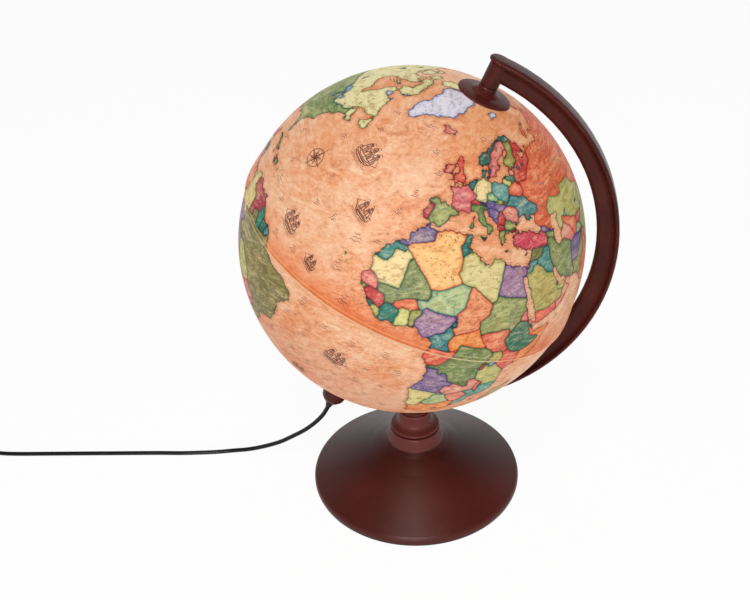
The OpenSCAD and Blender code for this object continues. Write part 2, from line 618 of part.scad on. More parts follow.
module bulb_filament() color(steel) globe_frame() {
    turned([
        [0, base_top - 6], [bulb_base_d / 2 - 1.35, base_top - 6], [bulb_base_d / 2 - 1.35, base_top - 4.5],
        [2.6, base_top + 1], [1.6, base_top + 14], [0, base_top + 14]
    ], 32);
    for (s = [-1, 1]) translate([0, s * 1.2, base_top + 13.5]) rotate([s * -22, 0, 0]) cylinder(r = 0.35, h = 10.5, $fn = 16);
    translate([0, -5.2, base_top + 23]) rotate([-90, 0, 0]) cylinder(r = 0.45, h = 10.4, $fn = 16);
}
module lead_wires() color(black) globe_frame()
    for (s = [-1, 1]) translate([s * 1.3, 0, grip_top + 0.05]) cylinder(r = 1, h = holder_low + 7.9 - grip_top, $fn = 16);

// Cord and what is on it
module cord_grip() color(black) globe_frame() turned([
    [0, grip_low], [cord_r + 0.5, grip_low], [grip_hole_r - 0.4, cap_low - 0.6], [grip_hole_r + 0.6, cap_low - 0.3],
    [grip_hole_r + 0.6, cap_low - 0.05], [grip_hole_r - slide, cap_low + 0.2],
    [grip_hole_r - slide, cap_low + 9], [cord_r + 1, grip_top], [0, grip_top]
], 48);
module cord_run() color(black) tube(spline(run_points, 2), cord_r, cord_sides);
module cord_link() color(black) tube(link_points, cord_r, cord_sides);
module cord_coil() color(black) tube(coil_points, cord_r, coil_sides);
module cord_tail() color(black) tube(tail_points, cord_r, cord_sides);
module cord_tie() color("#2c2c2e") translate([coil_x, coil_y, 0]) rotate(200) {
    band = 0.3;
    inner = coil_in - cord_r - 0.1;
    outer = coil_out + cord_r + 0.1;
    high = coil_z + coil_step * (coil_layers - 1) + cord_r + 0.1;
    translate([0, 2, 0]) rotate([90, 0, 0]) linear_extrude(4) difference() {
        chamfered(inner - band, outer + band, coil_z - cord_r - 0.05 - band, high + band, 1.3);
        chamfered(inner, outer, coil_z - cord_r - 0.05, high, 1.2);
    }
}
module chamfered(x0, x1, y0, y1, c) polygon([
    [x0 + c, y0], [x1 - c, y0], [x1, y0 + c], [x1, y1 - c], [x1 - c, y1], [x0 + c, y1], [x0, y1 - c], [x0, y0 + c]
]);

// Cord switch: two half shells, two screws and a rocker
switch_x = switch_end - switch_l / 2;
rocker_l = 8.4;                     // half length of the rocker
rocker_w = 9;
rocker_z = switch_h - 3.4;          // height of the rocker's pivot
module switch_form(low, high) translate([0, 0, low]) linear_extrude(high - low) hull() {
    square([switch_l - 16, switch_w], center = true);
    square([switch_l, cord_d + 6], center = true);
}
module switch_base() color(black) translate([switch_x, cord_y, 0]) difference() {
    switch_form(0.05, switch_h / 2 - 0.02);
    translate([-switch_l / 2 + 10, -switch_w / 2 + 2, 2]) cube([switch_l - 20, switch_w - 4, switch_h]);
    for (s = [-1, 1]) translate([s * (switch_l / 2 - 6.5), s * 4.4, -1]) cylinder(r = 1.4, h = 20, $fn = 24);
}
module switch_cover() color(black) translate([switch_x, cord_y, 0]) difference() {
    union() {
        switch_form(switch_h / 2 + 0.02, switch_h - 1.5);
        translate([0, 0, switch_h - 1.5]) linear_extrude(1.5) hull() {
            square([switch_l - 18, switch_w - 3], center = true);
            square([switch_l - 3, cord_d + 4], center = true);
        }
    }
    translate([-switch_l / 2 + 10, -switch_w / 2 + 2, 2]) cube([switch_l - 20, switch_w - 4, switch_h - 6.5]);
    translate([-rocker_l - 0.4, -rocker_w / 2 - 0.3, switch_h / 2 - 1]) cube([2 * rocker_l + 0.8, rocker_w + 0.6, switch_h]);
    translate([0, rocker_w / 2 + 1.6, rocker_z]) rotate([90, 0, 0]) cylinder(r = 1.2 + slide, h = rocker_w + 3.2, $fn = 32);
    for (s = [-1, 1]) translate([s * (switch_l / 2 - 6.5), s * 4.4, -1]) cylinder(r = 1.1, h = switch_h - 2, $fn = 24);
}
module switch_screws() color(steel) translate([switch_x, cord_y, 0])
    for (s = [-1, 1]) translate([s * (switch_l / 2 - 6.5), s * 4.4, 0.6]) cylinder(r = 1.05, h = switch_h - 5, $fn = 24);
module switch_rocker() color("#262626") translate([switch_x, cord_y, rocker_z]) rotate([0, -rocker_travel / 2, 0]) {
    translate([0, rocker_w / 2, 0]) rotate([90, 0, 0]) linear_extrude(rocker_w) intersection() {
        circle(r = rocker_l, $fn = 64);
        polygon([
            [-rocker_l, 2.6 + rocker_l * tan(rocker_travel / 2)], [0, 2.6],
            [rocker_l, 2.6 + rocker_l * tan(rocker_travel / 2)], [rocker_l, -0.4], [2.4, -2.8], [-2.4, -2.8], [-rocker_l, -0.4]
        ]);
    }
    translate([0, rocker_w / 2 + 1.4, 0]) rotate([90, 0, 0]) cylinder(r = 1.2, h = rocker_w + 2.8, $fn = 32);
}

// Flat two-pin plug with a tapered cord guard, lying on its side
plug_pin_r = 2;
pin_shank_r = plug_pin_r - 0.3;     // inside the plug's body
plug_face = plug_x + plug_boot_l + plug_l;
module plug_body() color(black) translate([plug_x, plug_y, plug_entry_z]) difference() {
    union() {
        rotate([0, 90, 0]) rotate_extrude($fn = 48) polygon([
            [0, 0], [cord_r + 0.7, 0], [cord_r + 1.6, 8], [cord_r + 2.6, 16], [plug_t / 2 - 1, plug_boot_l + 2], [0, plug_boot_l + 2]
        ]);
        translate([plug_boot_l, 0, 0]) plug_block();
    }
    for (s = [-1, 1]) translate([plug_boot_l + plug_l - 12, s * pin_pitch / 2, 0]) rotate([0, 90, 0])
        cylinder(r = pin_shank_r + slide, h = 13, $fn = 32);
}
module plug_block() intersection() {
    translate([0, 0, -plug_t / 2]) linear_extrude(plug_t) polygon([
        [0, -6.5], [2, -8.5], [plug_l - 19, -plug_w / 2 + 3], [plug_l - 15, -plug_w / 2 + 0.8],
        [plug_l - 10, -plug_w / 2], [plug_l, -plug_w / 2], [plug_l, plug_w / 2], [plug_l - 10, plug_w / 2],
        [plug_l - 15, plug_w / 2 - 0.8], [plug_l - 19, plug_w / 2 - 3], [2, 8.5], [0, 6.5]
    ]);
    translate([0, 20, 0]) rotate([90, 0, 0]) linear_extrude(40) polygon([
        [0, -plug_t / 2 + 1.5], [3, -plug_t / 2], [plug_l - 1, -plug_t / 2], [plug_l, -plug_t / 2 + 1],
        [plug_l, plug_t / 2 - 1], [plug_l - 1, plug_t / 2], [3, plug_t / 2], [0, plug_t / 2 - 1.5]
    ]);
    rotate([90, 0, 90]) linear_extrude(plug_l) polygon([
        for (q = [0:3]) each plug_corner(q)
    ]);
}
function plug_corner(q) = let (
        sy = q == 0 || q == 3 ? 1 : -1,
        sz = q < 2 ? 1 : -1,
        side = [sy * plug_w / 2, sz * (plug_t / 2 - 3.4)],
        mid = [sy * (plug_w / 2 - 1.2), sz * (plug_t / 2 - 1.2)],
        top = [sy * (plug_w / 2 - 3.4), sz * plug_t / 2]
    )
    q % 2 == 0 ? [side, mid, top] : [top, mid, side];
module plug_pins() color(steel) translate([plug_face, plug_y, plug_entry_z])
    for (s = [-1, 1]) translate([0, s * pin_pitch / 2, 0]) rotate([0, 90, 0]) turned([
        [0, -11], [pin_shank_r, -11], [pin_shank_r, -1], [plug_pin_r - 0.5, -1], [plug_pin_r - 0.5, 10],
        [plug_pin_r, 10], [plug_pin_r, 18], [plug_pin_r - 0.9, 19], [0, 19]
    ], 32);
module plug_sleeves() color("#2a2a2a") translate([plug_face, plug_y, plug_entry_z])
    for (s = [-1, 1]) translate([0, s * pin_pitch / 2, 0]) rotate([0, 90, 0])
        washer(plug_pin_r - 0.5 + slide, plug_pin_r - 0.1, 0, 10 - slide, 32);

felt_pad();
base_shell();
ballast_plate();
ballast_screws();
stem();
stem_bolt();
stem_washer();
foot_insert();
arm();
pole_pin();
friction_washer();
thrust_washer();
pole_clip();
north_cap();
pole_bush();
north_nut();
north_shell();
equator_hoop();
south_shell();
south_collar();
lamp_cap();
lamp_ring();
holder_body();
holder_thread();
holder_contact();
holder_nipple();
nipple_nut();
bulb_base();
bulb_glass();
bulb_filament();
lead_wires();
cord_grip();
cord_run();
cord_link();
cord_coil();
cord_tail();
cord_tie();
switch_base();
switch_cover();
switch_screws();
switch_rocker();
plug_body();
plug_pins();
plug_sleeves();
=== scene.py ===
import math

import bpy
import numpy as np
from mathutils import Matrix, Vector, kdtree


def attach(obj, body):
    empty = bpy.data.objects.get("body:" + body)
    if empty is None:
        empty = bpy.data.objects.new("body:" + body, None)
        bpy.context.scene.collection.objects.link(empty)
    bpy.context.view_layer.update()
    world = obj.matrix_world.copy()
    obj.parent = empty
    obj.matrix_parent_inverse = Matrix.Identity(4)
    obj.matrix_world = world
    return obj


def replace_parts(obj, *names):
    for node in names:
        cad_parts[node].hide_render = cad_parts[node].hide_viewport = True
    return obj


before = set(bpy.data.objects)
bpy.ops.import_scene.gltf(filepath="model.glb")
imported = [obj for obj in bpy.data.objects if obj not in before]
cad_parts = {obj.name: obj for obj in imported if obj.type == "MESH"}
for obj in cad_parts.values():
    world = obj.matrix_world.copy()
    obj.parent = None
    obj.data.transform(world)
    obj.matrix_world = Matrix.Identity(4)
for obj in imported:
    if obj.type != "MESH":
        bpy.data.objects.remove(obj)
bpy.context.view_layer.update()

# Lengths of shapes are in mm, and MM turns them to the frame's metres. Shaders and lamps are in metres.
MM = 0.001
TILT = math.radians(24.2)                   # lean of the ball's axis
CENTRE = np.array([0.0, 0.0, 224.6])        # ball's centre
BALL_R = 125.0
LON_0 = math.radians(-88.61)                # where the map's first meridian stands at rest
TURN = 2 * math.pi
scene = bpy.context.scene


def add_object(name, data):
    obj = bpy.data.objects.new(name, data)
    scene.collection.objects.link(obj)
    return obj


# ---------------------------------------------------------------- camera
IMAGE_W, FOCAL_PX, SENSOR_W = 750, 1068.3, 36
EYE = Vector((77.1, -672.6, 612.1))
EYE_AXES = ((0.9906, 0.1314, -0.0370), (-0.0407, 0.5430, 0.8387), (0.1303, -0.8294, 0.5433))   # right, up, back


def add_camera():
    data = bpy.data.cameras.new("camera")
    data.sensor_width = SENSOR_W
    data.lens = FOCAL_PX / IMAGE_W * SENSOR_W
    data.clip_start, data.clip_end = 0.01, 50
    scene.camera = add_object("camera", data)
    scene.camera.matrix_world = Matrix.Translation(EYE * MM) @ Matrix(EYE_AXES).transposed().to_4x4()


add_camera()


# ---------------------------------------------------------------- materials
def srgb(r, g, b):
    """Linear colour of a screen colour given from 0 to 1."""
    f = lambda c: c / 12.92 if c <= 0.04045 else ((c + 0.055) / 1.055) ** 2.4
    return (f(r), f(g), f(b), 1.0)


class Tree:
    """Short calls to build the nodes of a material or world."""

    def __init__(self, owner):
        owner.use_nodes = True
        self.tree = owner.node_tree
        self.tree.nodes.clear()

    def put(self, socket, value):
        if isinstance(value, bpy.types.NodeSocket):
            self.tree.links.new(value, socket)
        elif value is not None:
            socket.default_value = value

    def new(self, kind, inputs=None, **settings):
        """A node, with settings by name and inputs by name or number."""
        node = self.tree.nodes.new("ShaderNode" + kind)
        for key, value in settings.items():
            setattr(node, key, value)
        for key, value in (inputs or {}).items():
            self.put(node.inputs[key], value)
        return node

    def span(self, value, a, b, c=0.0, d=1.0, smooth=False):
        """A value on its way from a to b, drawn out from c to d."""
        return self.new("MapRange", {"Value": value, "From Min": a, "From Max": b, "To Min": c, "To Max": d},
                        interpolation_type="SMOOTHSTEP" if smooth else "LINEAR").outputs[0]

    def math(self, kind, a, b=0.0, c=0.0):
        return self.new("Math", {0: a, 1: b, 2: c}, operation=kind).outputs[0]

    def times(self, first, *others):
        for value in others:
            first = self.math("MULTIPLY", first, value)
        return first

    def either(self, first, *others):
        """The larger of some values."""
        for value in others:
            first = self.math("MAXIMUM", first, value)
        return first

    def over(self, fac, below, above):
        """One shader laid over another."""
        return self.new("MixShader", {0: fac, 1: below, 2: above}).outputs[0]


class Surface(Tree):
    """A material round one principled shader. In mixes and ramps a triple is a screen colour."""

    def __init__(self, name):
        self.mat = bpy.data.materials.new(name)
        super().__init__(self.mat)
        self.bsdf = self.new("BsdfPrincipled")
        self.out = self.new("OutputMaterial", {0: self.bsdf.outputs[0]})
        self.coord = self.new("TexCoord").outputs["Object"]

    def set(self, **values):
        """Inputs of the shader, where an underscore stands for the blank in a name."""
        for key, value in values.items():
            self.put(self.bsdf.inputs[key.replace("_", " ")], value)
        return self

    def scaled(self, scale, turn=(0, 0, 0)):
        return self.new("Mapping", {"Vector": self.coord, "Scale": scale, "Rotation": turn}).outputs[0]

    def noise(self, scale, detail, rough, vector=None, distortion=0.0):
        return self.new("TexNoise", {"Vector": vector or self.coord, "Scale": scale, "Detail": detail,
                                     "Roughness": rough, "Distortion": distortion}).outputs["Fac"]

    def ramp(self, fac, stops):
        node = self.new("ValToRGB", {0: fac})
        elements = node.color_ramp.elements
        while len(elements) < len(stops):
            elements.new(0.5)
        for element, (position, colour) in zip(elements, stops):
            element.position, element.color = position, srgb(*colour)
        return node.outputs[0]

    def mix(self, fac, a, b, kind="MIX"):
        a, b = (srgb(*v) if isinstance(v, tuple) and len(v) == 3 else v for v in (a, b))
        return self.new("Mix", {0: fac, 6: a, 7: b}, data_type="RGBA", blend_type=kind).outputs[2]

    def dye(self, fac, colour, ink, depth=1.0):
        """A colour that goes over into itself times an ink."""
        return self.mix(fac, colour, self.mix(depth, colour, ink, "MULTIPLY"))

    def bump(self, height, strength, distance, below=None):
        return self.new("Bump", {"Strength": strength, "Distance": distance, "Height": height,
                                 "Normal": below}).outputs[0]

    def round_edges(self, radius):
        """Normal of softly rounded edges, and how much each place is an edge."""
        soft = self.new("Bevel", {"Radius": radius}, samples=6).outputs[0]
        plain = self.new("NewGeometry").outputs["Normal"]
        facing = self.new("VectorMath", {0: soft, 1: plain}, operation="DOT_PRODUCT").outputs["Value"]
        return soft, self.span(facing, 0.985, 0.80)

    def attribute(self, name, output="Fac"):
        return self.new("Attribute", attribute_name=name).outputs[output]


def plastic(name, low, high, rough, grain=900, grain_depth=0.04, cloud=18, specular=0.5, edge=0.0):
    """Moulded plastic: a slow drift of colour, a fine grain, faint rubbed patches, and a painted highlight that
    lightens rounded edges.
    """
    n = Surface(name)
    lighter = lambda gain: tuple(min(1, c * gain + 0.01) for c in srgb(*high)[:3]) + (1,)
    fine, rubbed = n.noise(grain, 2, 0.5), n.noise(70, 5, 0.65, distortion=0.4)
    colour = n.mix(n.span(n.noise(cloud, 3, 0.6), 0.3, 0.7), low, high)
    colour = n.mix(n.span(rubbed, 0.58, 0.75, 0, 0.16), colour, lighter(1.7))
    rounded = None
    if edge:
        rounded, edge_highlight = n.round_edges(edge)
        # painted highlight: rounded edges are lightened in colour, as if they catch the light
        colour = n.mix(n.times(edge_highlight, 0.7), colour, lighter(2.3))
    relief = n.bump(rubbed, 0.06, 0.0004, n.bump(fine, grain_depth * 4, 0.00005, rounded))
    return n.set(Base_Color=colour, Roughness=n.span(n.math("ADD", rubbed, fine), 0.7, 1.3, *rough), Normal=relief,
                 Specular_IOR_Level=specular)


def metal(name, colour, rough=(0.22, 0.4), streak=(30, 30, 900)):
    """Drawn or turned metal: fine streaks along one way and dull spots."""
    n = Surface(name)
    lines, spots = n.noise(1.0, 3, 0.6, n.scaled(streak)), n.noise(160, 4, 0.6)
    dark = tuple(c * 0.8 for c in srgb(*colour)[:3]) + (1,)
    return n.set(Base_Color=n.mix(n.span(spots, 0.4, 0.7), colour, n.mix(n.span(lines, 0.3, 0.7), colour, dark)),
                 Roughness=n.span(lines, 0.3, 0.7, *rough), Normal=n.bump(lines, 0.1, 0.0001), Metallic=1.0)


def felt():
    n = Surface("felt")
    fibres = n.noise(1.0, 5, 0.7, n.scaled((1600, 1600, 500)), 1.5)
    colour = n.mix(n.span(n.noise(45, 4, 0.6), 0.35, 0.65), (0.10, 0.095, 0.10), (0.17, 0.16, 0.165))
    return n.set(Base_Color=n.mix(n.span(fibres, 0.5, 0.75, 0, 0.6), colour, (0.30, 0.29, 0.30)),
                 Normal=n.bump(fibres, 0.7, 0.0004), Roughness=0.95, Sheen_Weight=0.35, Specular_IOR_Level=0.15)


def bulb_glass():
    n = Surface("bulb_glass")
    cloud = n.noise(90, 3, 0.5)
    return n.set(Base_Color=n.mix(n.span(cloud, 0.3, 0.7), (0.99, 0.96, 0.88), (0.95, 0.90, 0.80)),
                 Roughness=n.span(cloud, 0.3, 0.7, 0.45, 0.6), Transmission_Weight=0.6,
                 Emission_Color=srgb(1.0, 0.86, 0.62), Emission_Strength=1.5)


# Plastics: dark and light colour, least and most roughness, and what differs from plastic()'s own values
mats = {key: plastic(name, low, high, rough, **more) for key, name, low, high, rough, more in (
    ("stand", "stand_plastic", (0.25, 0.092, 0.071), (0.30, 0.112, 0.087), (0.32, 0.40),
     dict(specular=0.20, edge=0.0008)),
    # stem and collar: the stand's plastic with painted light, lighter to stand in for the light they catch
    ("stem", "stem_plastic_painted_light", (0.395, 0.192, 0.173), (0.45, 0.222, 0.203), (0.32, 0.40),
     dict(specular=0.16, edge=0.0006)),
    # arm: the stand's plastic with painted shade, darker to stand in for the shade on its front face
    ("arm", "arm_plastic_painted_shade", (0.205, 0.078, 0.062), (0.275, 0.106, 0.084), (0.26, 0.34),
     dict(cloud=55, specular=0.12, edge=0.0009)),
    ("cap", "cap_plastic", (0.25, 0.092, 0.07), (0.31, 0.118, 0.092), (0.26, 0.36), dict(specular=0.10, edge=0.0007)),
    ("lamp_cap", "lamp_cap_plastic", (0.27, 0.115, 0.10), (0.33, 0.145, 0.125), (0.28, 0.38),
     dict(specular=0.10, edge=0.0007)),
    ("inner", "inner_plastic", (0.86, 0.83, 0.76), (0.92, 0.90, 0.84), (0.4, 0.55), dict()),
    ("fibre", "fibre", (0.10, 0.09, 0.09), (0.20, 0.17, 0.15), (0.7, 0.9), dict(grain=2500, grain_depth=0.2)),
    ("porcelain", "porcelain", (0.88, 0.87, 0.83), (0.94, 0.93, 0.90), (0.12, 0.25), dict(grain=400, grain_depth=0.02)),
    ("cord_plastic", "cord_plastic", (0.05, 0.047, 0.047), (0.085, 0.08, 0.08), (0.34, 0.50),
     dict(grain=1600, grain_depth=0.12, specular=0.28, edge=0.0006)),
    ("rocker", "rocker_plastic", (0.07, 0.066, 0.066), (0.10, 0.095, 0.095), (0.2, 0.3),
     dict(grain=700, grain_depth=0.02, edge=0.0005)),
    ("cord", "cord_sheath", (0.035, 0.033, 0.033), (0.065, 0.061, 0.06), (0.22, 0.32),
     dict(grain=2200, grain_depth=0.05, cloud=40, specular=0.22)),
)}
mats["steel"] = metal("steel", (0.72, 0.73, 0.75))
mats["ballast"] = metal("ballast_steel", (0.42, 0.43, 0.45), (0.45, 0.65), (12, 12, 12))
mats["brass"] = metal("brass", (0.83, 0.68, 0.38), (0.2, 0.38))
mats["bulb_metal"] = metal("bulb_metal", (0.78, 0.79, 0.80), (0.25, 0.35), (20, 20, 600))
mats["tungsten"] = metal("tungsten", (0.55, 0.54, 0.52), (0.4, 0.5))
mats["plug_metal"] = metal("plug_metal", (0.80, 0.79, 0.76), (0.15, 0.3), (900, 30, 30))
mats["felt"] = felt()
mats["bulb_glass"] = bulb_glass()

# The nodes that show each material
SHOWN = {
    "felt": "felt_pad", "stand": "base_shell stem", "arm": "arm", "cap": "north_cap", "lamp_cap": "lamp_cap",
    "ballast": "ballast_plate", "fibre": "friction_washer", "bulb_metal": "bulb_base", "bulb_glass": "bulb_glass",
    "tungsten": "bulb_filament", "plug_metal": "plug_pins", "rocker": "switch_rocker", "porcelain": "holder_body",
    "steel": "ballast_screws stem_bolt stem_washer pole_pin thrust_washer pole_clip lamp_ring switch_screws",
    "brass": "foot_insert holder_thread holder_contact holder_nipple nipple_nut",
    "inner": "pole_bush north_nut north_shell equator_hoop south_shell south_collar",
    "cord": "cord_run cord_link cord_coil cord_tail",
    "cord_plastic": "lead_wires cord_grip cord_tie switch_base switch_cover plug_body plug_sleeves",
}
for key, names in SHOWN.items():
    for name in names.split():
        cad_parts[name].data.materials.clear()
        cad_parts[name].data.materials.append(mats[key].mat)


# ---------------------------------------------------------------- mesh helpers
def mesh_piece(name, points, faces, material, body):
    """A piece in the frame from points in mm."""
    data = bpy.data.meshes.new(name)
    data.from_pydata((np.asarray(points, float) * MM).tolist(), [], faces)
    data.update()
    data.materials.append(material.mat)
    for p in data.polygons:
        p.use_smooth = True
    data.set_sharp_from_angle(angle=math.radians(32))
    obj = add_object(name, data)
    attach(obj, body)
    return obj


def polar(r, a):
    return r * math.cos(a), r * math.sin(a)


def ring_faces(rings, count):
    """Faces of a closed skin over a closed row of closed rings."""
    return [(i * count + j, (i + 1) % rings * count + j, (i + 1) % rings * count + (j + 1) % count,
             i * count + (j + 1) % count) for i in range(rings) for j in range(count)]


def on_axis(z):
    return np.array([z * math.sin(TILT), 0, CENTRE[2] + z * math.cos(TILT)])


def to_world(p):
    """Points of the ball's own frame turned to the tilted axis."""
    p = np.asarray(p, float)
    c, s = math.cos(TILT), math.sin(TILT)
    return np.stack([c * p[..., 0] + s * p[..., 2], p[..., 1], -s * p[..., 0] + c * p[..., 2]], -1) + CENTRE


# ---------------------------------------------------------------- cords
CORD_D = 3.6
LIE = 1.9                                   # height of the cord's middle where it lies on the table
SWITCH_END, SWITCH_L, CORD_Y = -393.0, 58.0, -12.0
COIL_X, COIL_OUT, COIL_IN, COIL_Z = -520.0, 25.0125, 13.9875, 2.2
COIL_Y = CORD_Y + COIL_OUT
COIL_STEP, COIL_LAYERS, COIL_TURNS = 4.2, 4, 10.5
LAYER_ANGLE = 360 * COIL_TURNS / COIL_LAYERS
PLUG_X, PLUG_Z = COIL_X + 42, 6.85
PLUG_Y = COIL_Y + COIL_OUT
GRIP_LOW = -173.5                           # lower end of the cord grip, along the ball's axis

# From the grip down to the table: way along X, Y, and share of the height
fall_top = on_axis(GRIP_LOW - 4)
FALL = [(-4.2, 1, 0.873), (-11.2, 2, 0.725), (-20.2, 3, 0.577), (-31.2, 5, 0.429), (-44.2, 7, 0.273),
        (-58.2, 9, 0.15), (-73.2, 10, 0.059), (-87.2, 10, 0.016)]
run_points = [on_axis(GRIP_LOW), fall_top]
run_points += [(fall_top[0] + x, y, LIE + (fall_top[2] - LIE) * z) for x, y, z in FALL]
run_points += [(-174, 8, LIE), (-190, 5.5, LIE), (-206, 3.5, LIE), (-225, 2, LIE), (-245, 0, LIE), (-265, -2, LIE),
               (-285, -4, LIE), (-305, -6, LIE), (-325, -8, LIE), (-345, -10, LIE), (-362, -11, LIE),
               (-374, -11.5, 3.6), (-384, -12, 6.6), (SWITCH_END + 4, CORD_Y, 8), (SWITCH_END, CORD_Y, 8)]


def ease(t):
    u = max(0.0, min(1.0, t))
    return u * u * (3 - 2 * u)


def coil_point(a):
    """Place on the coil at an angle in degrees: it winds in and out by layers, and climbs between them."""
    b = min(a, COIL_LAYERS * LAYER_ANGLE - 0.001)
    k = math.floor(b / LAYER_ANGLE)
    f = b / LAYER_ANGLE - k
    r = COIL_OUT - (COIL_OUT - COIL_IN) * (f if k % 2 == 0 else 1 - f)
    layer = sum(ease((a - q * LAYER_ANGLE) / 180 + 0.5) for q in range(1, COIL_LAYERS))
    w = math.radians(a)
    return (COIL_X - r * math.sin(w), COIL_Y - r * math.cos(w), COIL_Z + COIL_STEP * layer)


link_points = [(SWITCH_END - SWITCH_L, CORD_Y, 8), (SWITCH_END - SWITCH_L - 4, CORD_Y, 8), (-466, -12, 5.6),
               (-478, -12, 3.6), (-492, -12, 2.5), (-505, -12, 2.2), (COIL_X + 8, CORD_Y, COIL_Z),
               (COIL_X + 4, CORD_Y, COIL_Z)]
coil_points = [coil_point(i * 15) for i in range(int(COIL_TURNS * 24) + 1)]
end = coil_point(360 * COIL_TURNS)
tail_points = [(end[0] + 4, end[1], end[2]), (end[0] + 8, end[1], end[2]), (-506, 38, 13.8), (-498, 38, 11.7),
               (-489, 38, 8.8), (PLUG_X - 4, PLUG_Y, PLUG_Z), (PLUG_X, PLUG_Y, PLUG_Z)]
wound_points = link_points + coil_points + tail_points


def handles(points):
    """Points of a smooth run, with the handles before and after each."""
    p = np.array(points, float)
    before = np.vstack([p[:1], p[:-1]])
    after = np.vstack([p[1:], p[-1:]])
    slope = (after - before) / 6
    slope[0] = (p[1] - p[0]) / 3
    slope[-1] = (p[-1] - p[-2]) / 3
    return p, p - slope, p + slope


def curve_length(points):
    p, left, right = handles(points)
    t = np.linspace(0, 1, 25)[:, None]
    u = 1 - t
    total = 0.0
    for a, b, c, d in zip(p[:-1], right[:-1], left[1:], p[1:]):
        run = u ** 3 * a + 3 * u ** 2 * t * b + 3 * u * t * t * c + t ** 3 * d
        total += np.linalg.norm(np.diff(run, axis=0), axis=1).sum()
    return total


def cord_piece(name, points):
    data = bpy.data.curves.new(name, "CURVE")
    data.dimensions = "3D"
    data.resolution_u = 4
    data.bevel_depth = CORD_D / 2 * MM
    data.bevel_resolution = 5
    data.use_fill_caps = True
    spline = data.splines.new("BEZIER")
    spline.bezier_points.add(len(points) - 1)
    for bp, a, b, c in zip(spline.bezier_points, *handles(points)):
        bp.handle_left_type = bp.handle_right_type = "FREE"
        bp.co, bp.handle_left, bp.handle_right = Vector(a) * MM, Vector(b) * MM, Vector(c) * MM
    data.materials.append(mats["cord"].mat)
    obj = add_object(name, data)
    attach(obj, "stand")
    return obj


near_cord = cord_piece("near_cord", run_points)
far_cord = cord_piece("far_cord", wound_points)
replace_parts(near_cord, "cord_run")
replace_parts(far_cord, "cord_link", "cord_coil", "cord_tail")

TIE_AT = math.radians(200)                  # where on the coil the tie sits
BAND_T, BAND_HALF, BEND_R = 0.45, 2.0, 2    # its band: thickness, half width, radius of the bends
BAND_PLAY, TWIST_RISE = 0.25, 0.95          # gap from coil to band, and from there to the twist's middle
WIRE_R, TWIST_R, TWIST_L, TWISTS = 0.42, 0.55, 10, 2.25
SIDES = 8                                   # of the twist's wires


def tie_piece():
    """A flat band round the coil, closed by a short twist on top."""
    reach = CORD_D / 2 + BAND_PLAY
    inner, outer = COIL_IN - reach, COIL_OUT + reach
    low, high = COIL_Z - reach, COIL_Z + COIL_STEP * 3 + reach
    c, s = polar(1, TIE_AT)
    points = []

    def put(x, y, z):
        points.append((COIL_X + x * c - y * s, COIL_Y + x * s + y * c, z))

    section = [(0, -BAND_HALF + 0.3), (-BAND_T * 0.5, -BAND_HALF), (-BAND_T, -BAND_HALF + 0.3),
               (-BAND_T, BAND_HALF - 0.3), (-BAND_T * 0.5, BAND_HALF), (0, BAND_HALF - 0.3)]
    corners = ((inner + BEND_R, low + BEND_R, 180), (outer - BEND_R, low + BEND_R, 270),
               (outer - BEND_R, high - BEND_R, 0), (inner + BEND_R, high - BEND_R, 90))
    for x, z, start in corners:
        for k in range(7):
            a = math.radians(start + 15 * k)
            for d, w in section:
                u, v = polar(BEND_R + d, a)
                put(x + u, w, z + v)
    faces = ring_faces(4 * 7, len(section))

    # the twist: two strands wound round each other, lying on the band's top
    rings = 40
    for strand in (0, math.pi):
        base = len(points)
        for i in range(rings + 1):
            t = i / rings
            r = TWIST_R + max(0, t - 0.85) * 3
            y, z = polar(r, strand + t * TWISTS * TURN)
            for k in range(SIDES):
                u, v = polar(WIRE_R, k * TURN / SIDES)
                put((inner + outer) / 2 + TWIST_L * (t - 0.5), y + u, high + TWIST_RISE + z * 0.7 + v)
        for i in range(rings):
            for k in range(SIDES):
                a, b = base + i * SIDES + k, base + i * SIDES + (k + 1) % SIDES
                faces.append((a, b, b + SIDES, a + SIDES))
        faces.append([base + k for k in range(SIDES - 1, -1, -1)])
        faces.append([base + rings * SIDES + k for k in range(SIDES)])
    return mesh_piece("coil_tie", points, faces, mats["cord_plastic"], "stand")


tie = tie_piece()
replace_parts(tie, "cord_tie")
round(curve_length(run_points)) * MM
round(curve_length(wound_points)) * MM


# ---------------------------------------------------------------- stem and collar
# Closed outlines of radius and height
STEM_OUTLINE = (
    (3.25, 44), (13.2, 44), (13.2, 52.8), (17.5, 52.8), (19.2, 52.85), (19.65, 53.1), (19.8, 53.6), (19.75, 54.2),
    (19.4, 54.8), (18.6, 55.3), (17.3, 55.85), (15.9, 56.5), (14.8, 57.3), (13.95, 58.4), (13.4, 59.9), (13.2, 61.8),
    (13.2, 64.4), (13.45, 67.3), (13.35, 68.5), (12.95, 69.1), (12.4, 69.3), (11.25, 69.3), (11.25, 74.65),
    (3.25, 74.65))
COLLAR_OUTLINE = (
    (13.6, 44.6), (15.5, 43.5), (17.5, 42.0), (20.0, 40.6), (21.8, 39.0), (24.6, 37.6), (25.9, 37.0), (26.1, 37.7),
    (24.9, 38.3), (23.7, 39.1), (22.95, 40.0), (22.4, 41.2), (21.9, 43.0), (21.4, 45.2), (20.9, 47.4), (20.4, 49.6),
    (20.1, 50.8), (19.7, 51.3), (19.1, 51.5), (18.2, 51.5), (13.6, 51.5))


def lathe(name, outline, segments=160):
    """A closed ring of the stem's plastic, the stand's plastic painted lighter, turned from an outline."""
    turns = np.arange(segments) * TURN / segments
    points = [(*polar(r, a), z) for a in turns for r, z in outline]
    return mesh_piece(name, points, ring_faces(segments, len(outline)), mats["stem"], "stand")


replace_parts(lathe("stem_body", STEM_OUTLINE), "stem")
lathe("base_collar", COLLAR_OUTLINE)


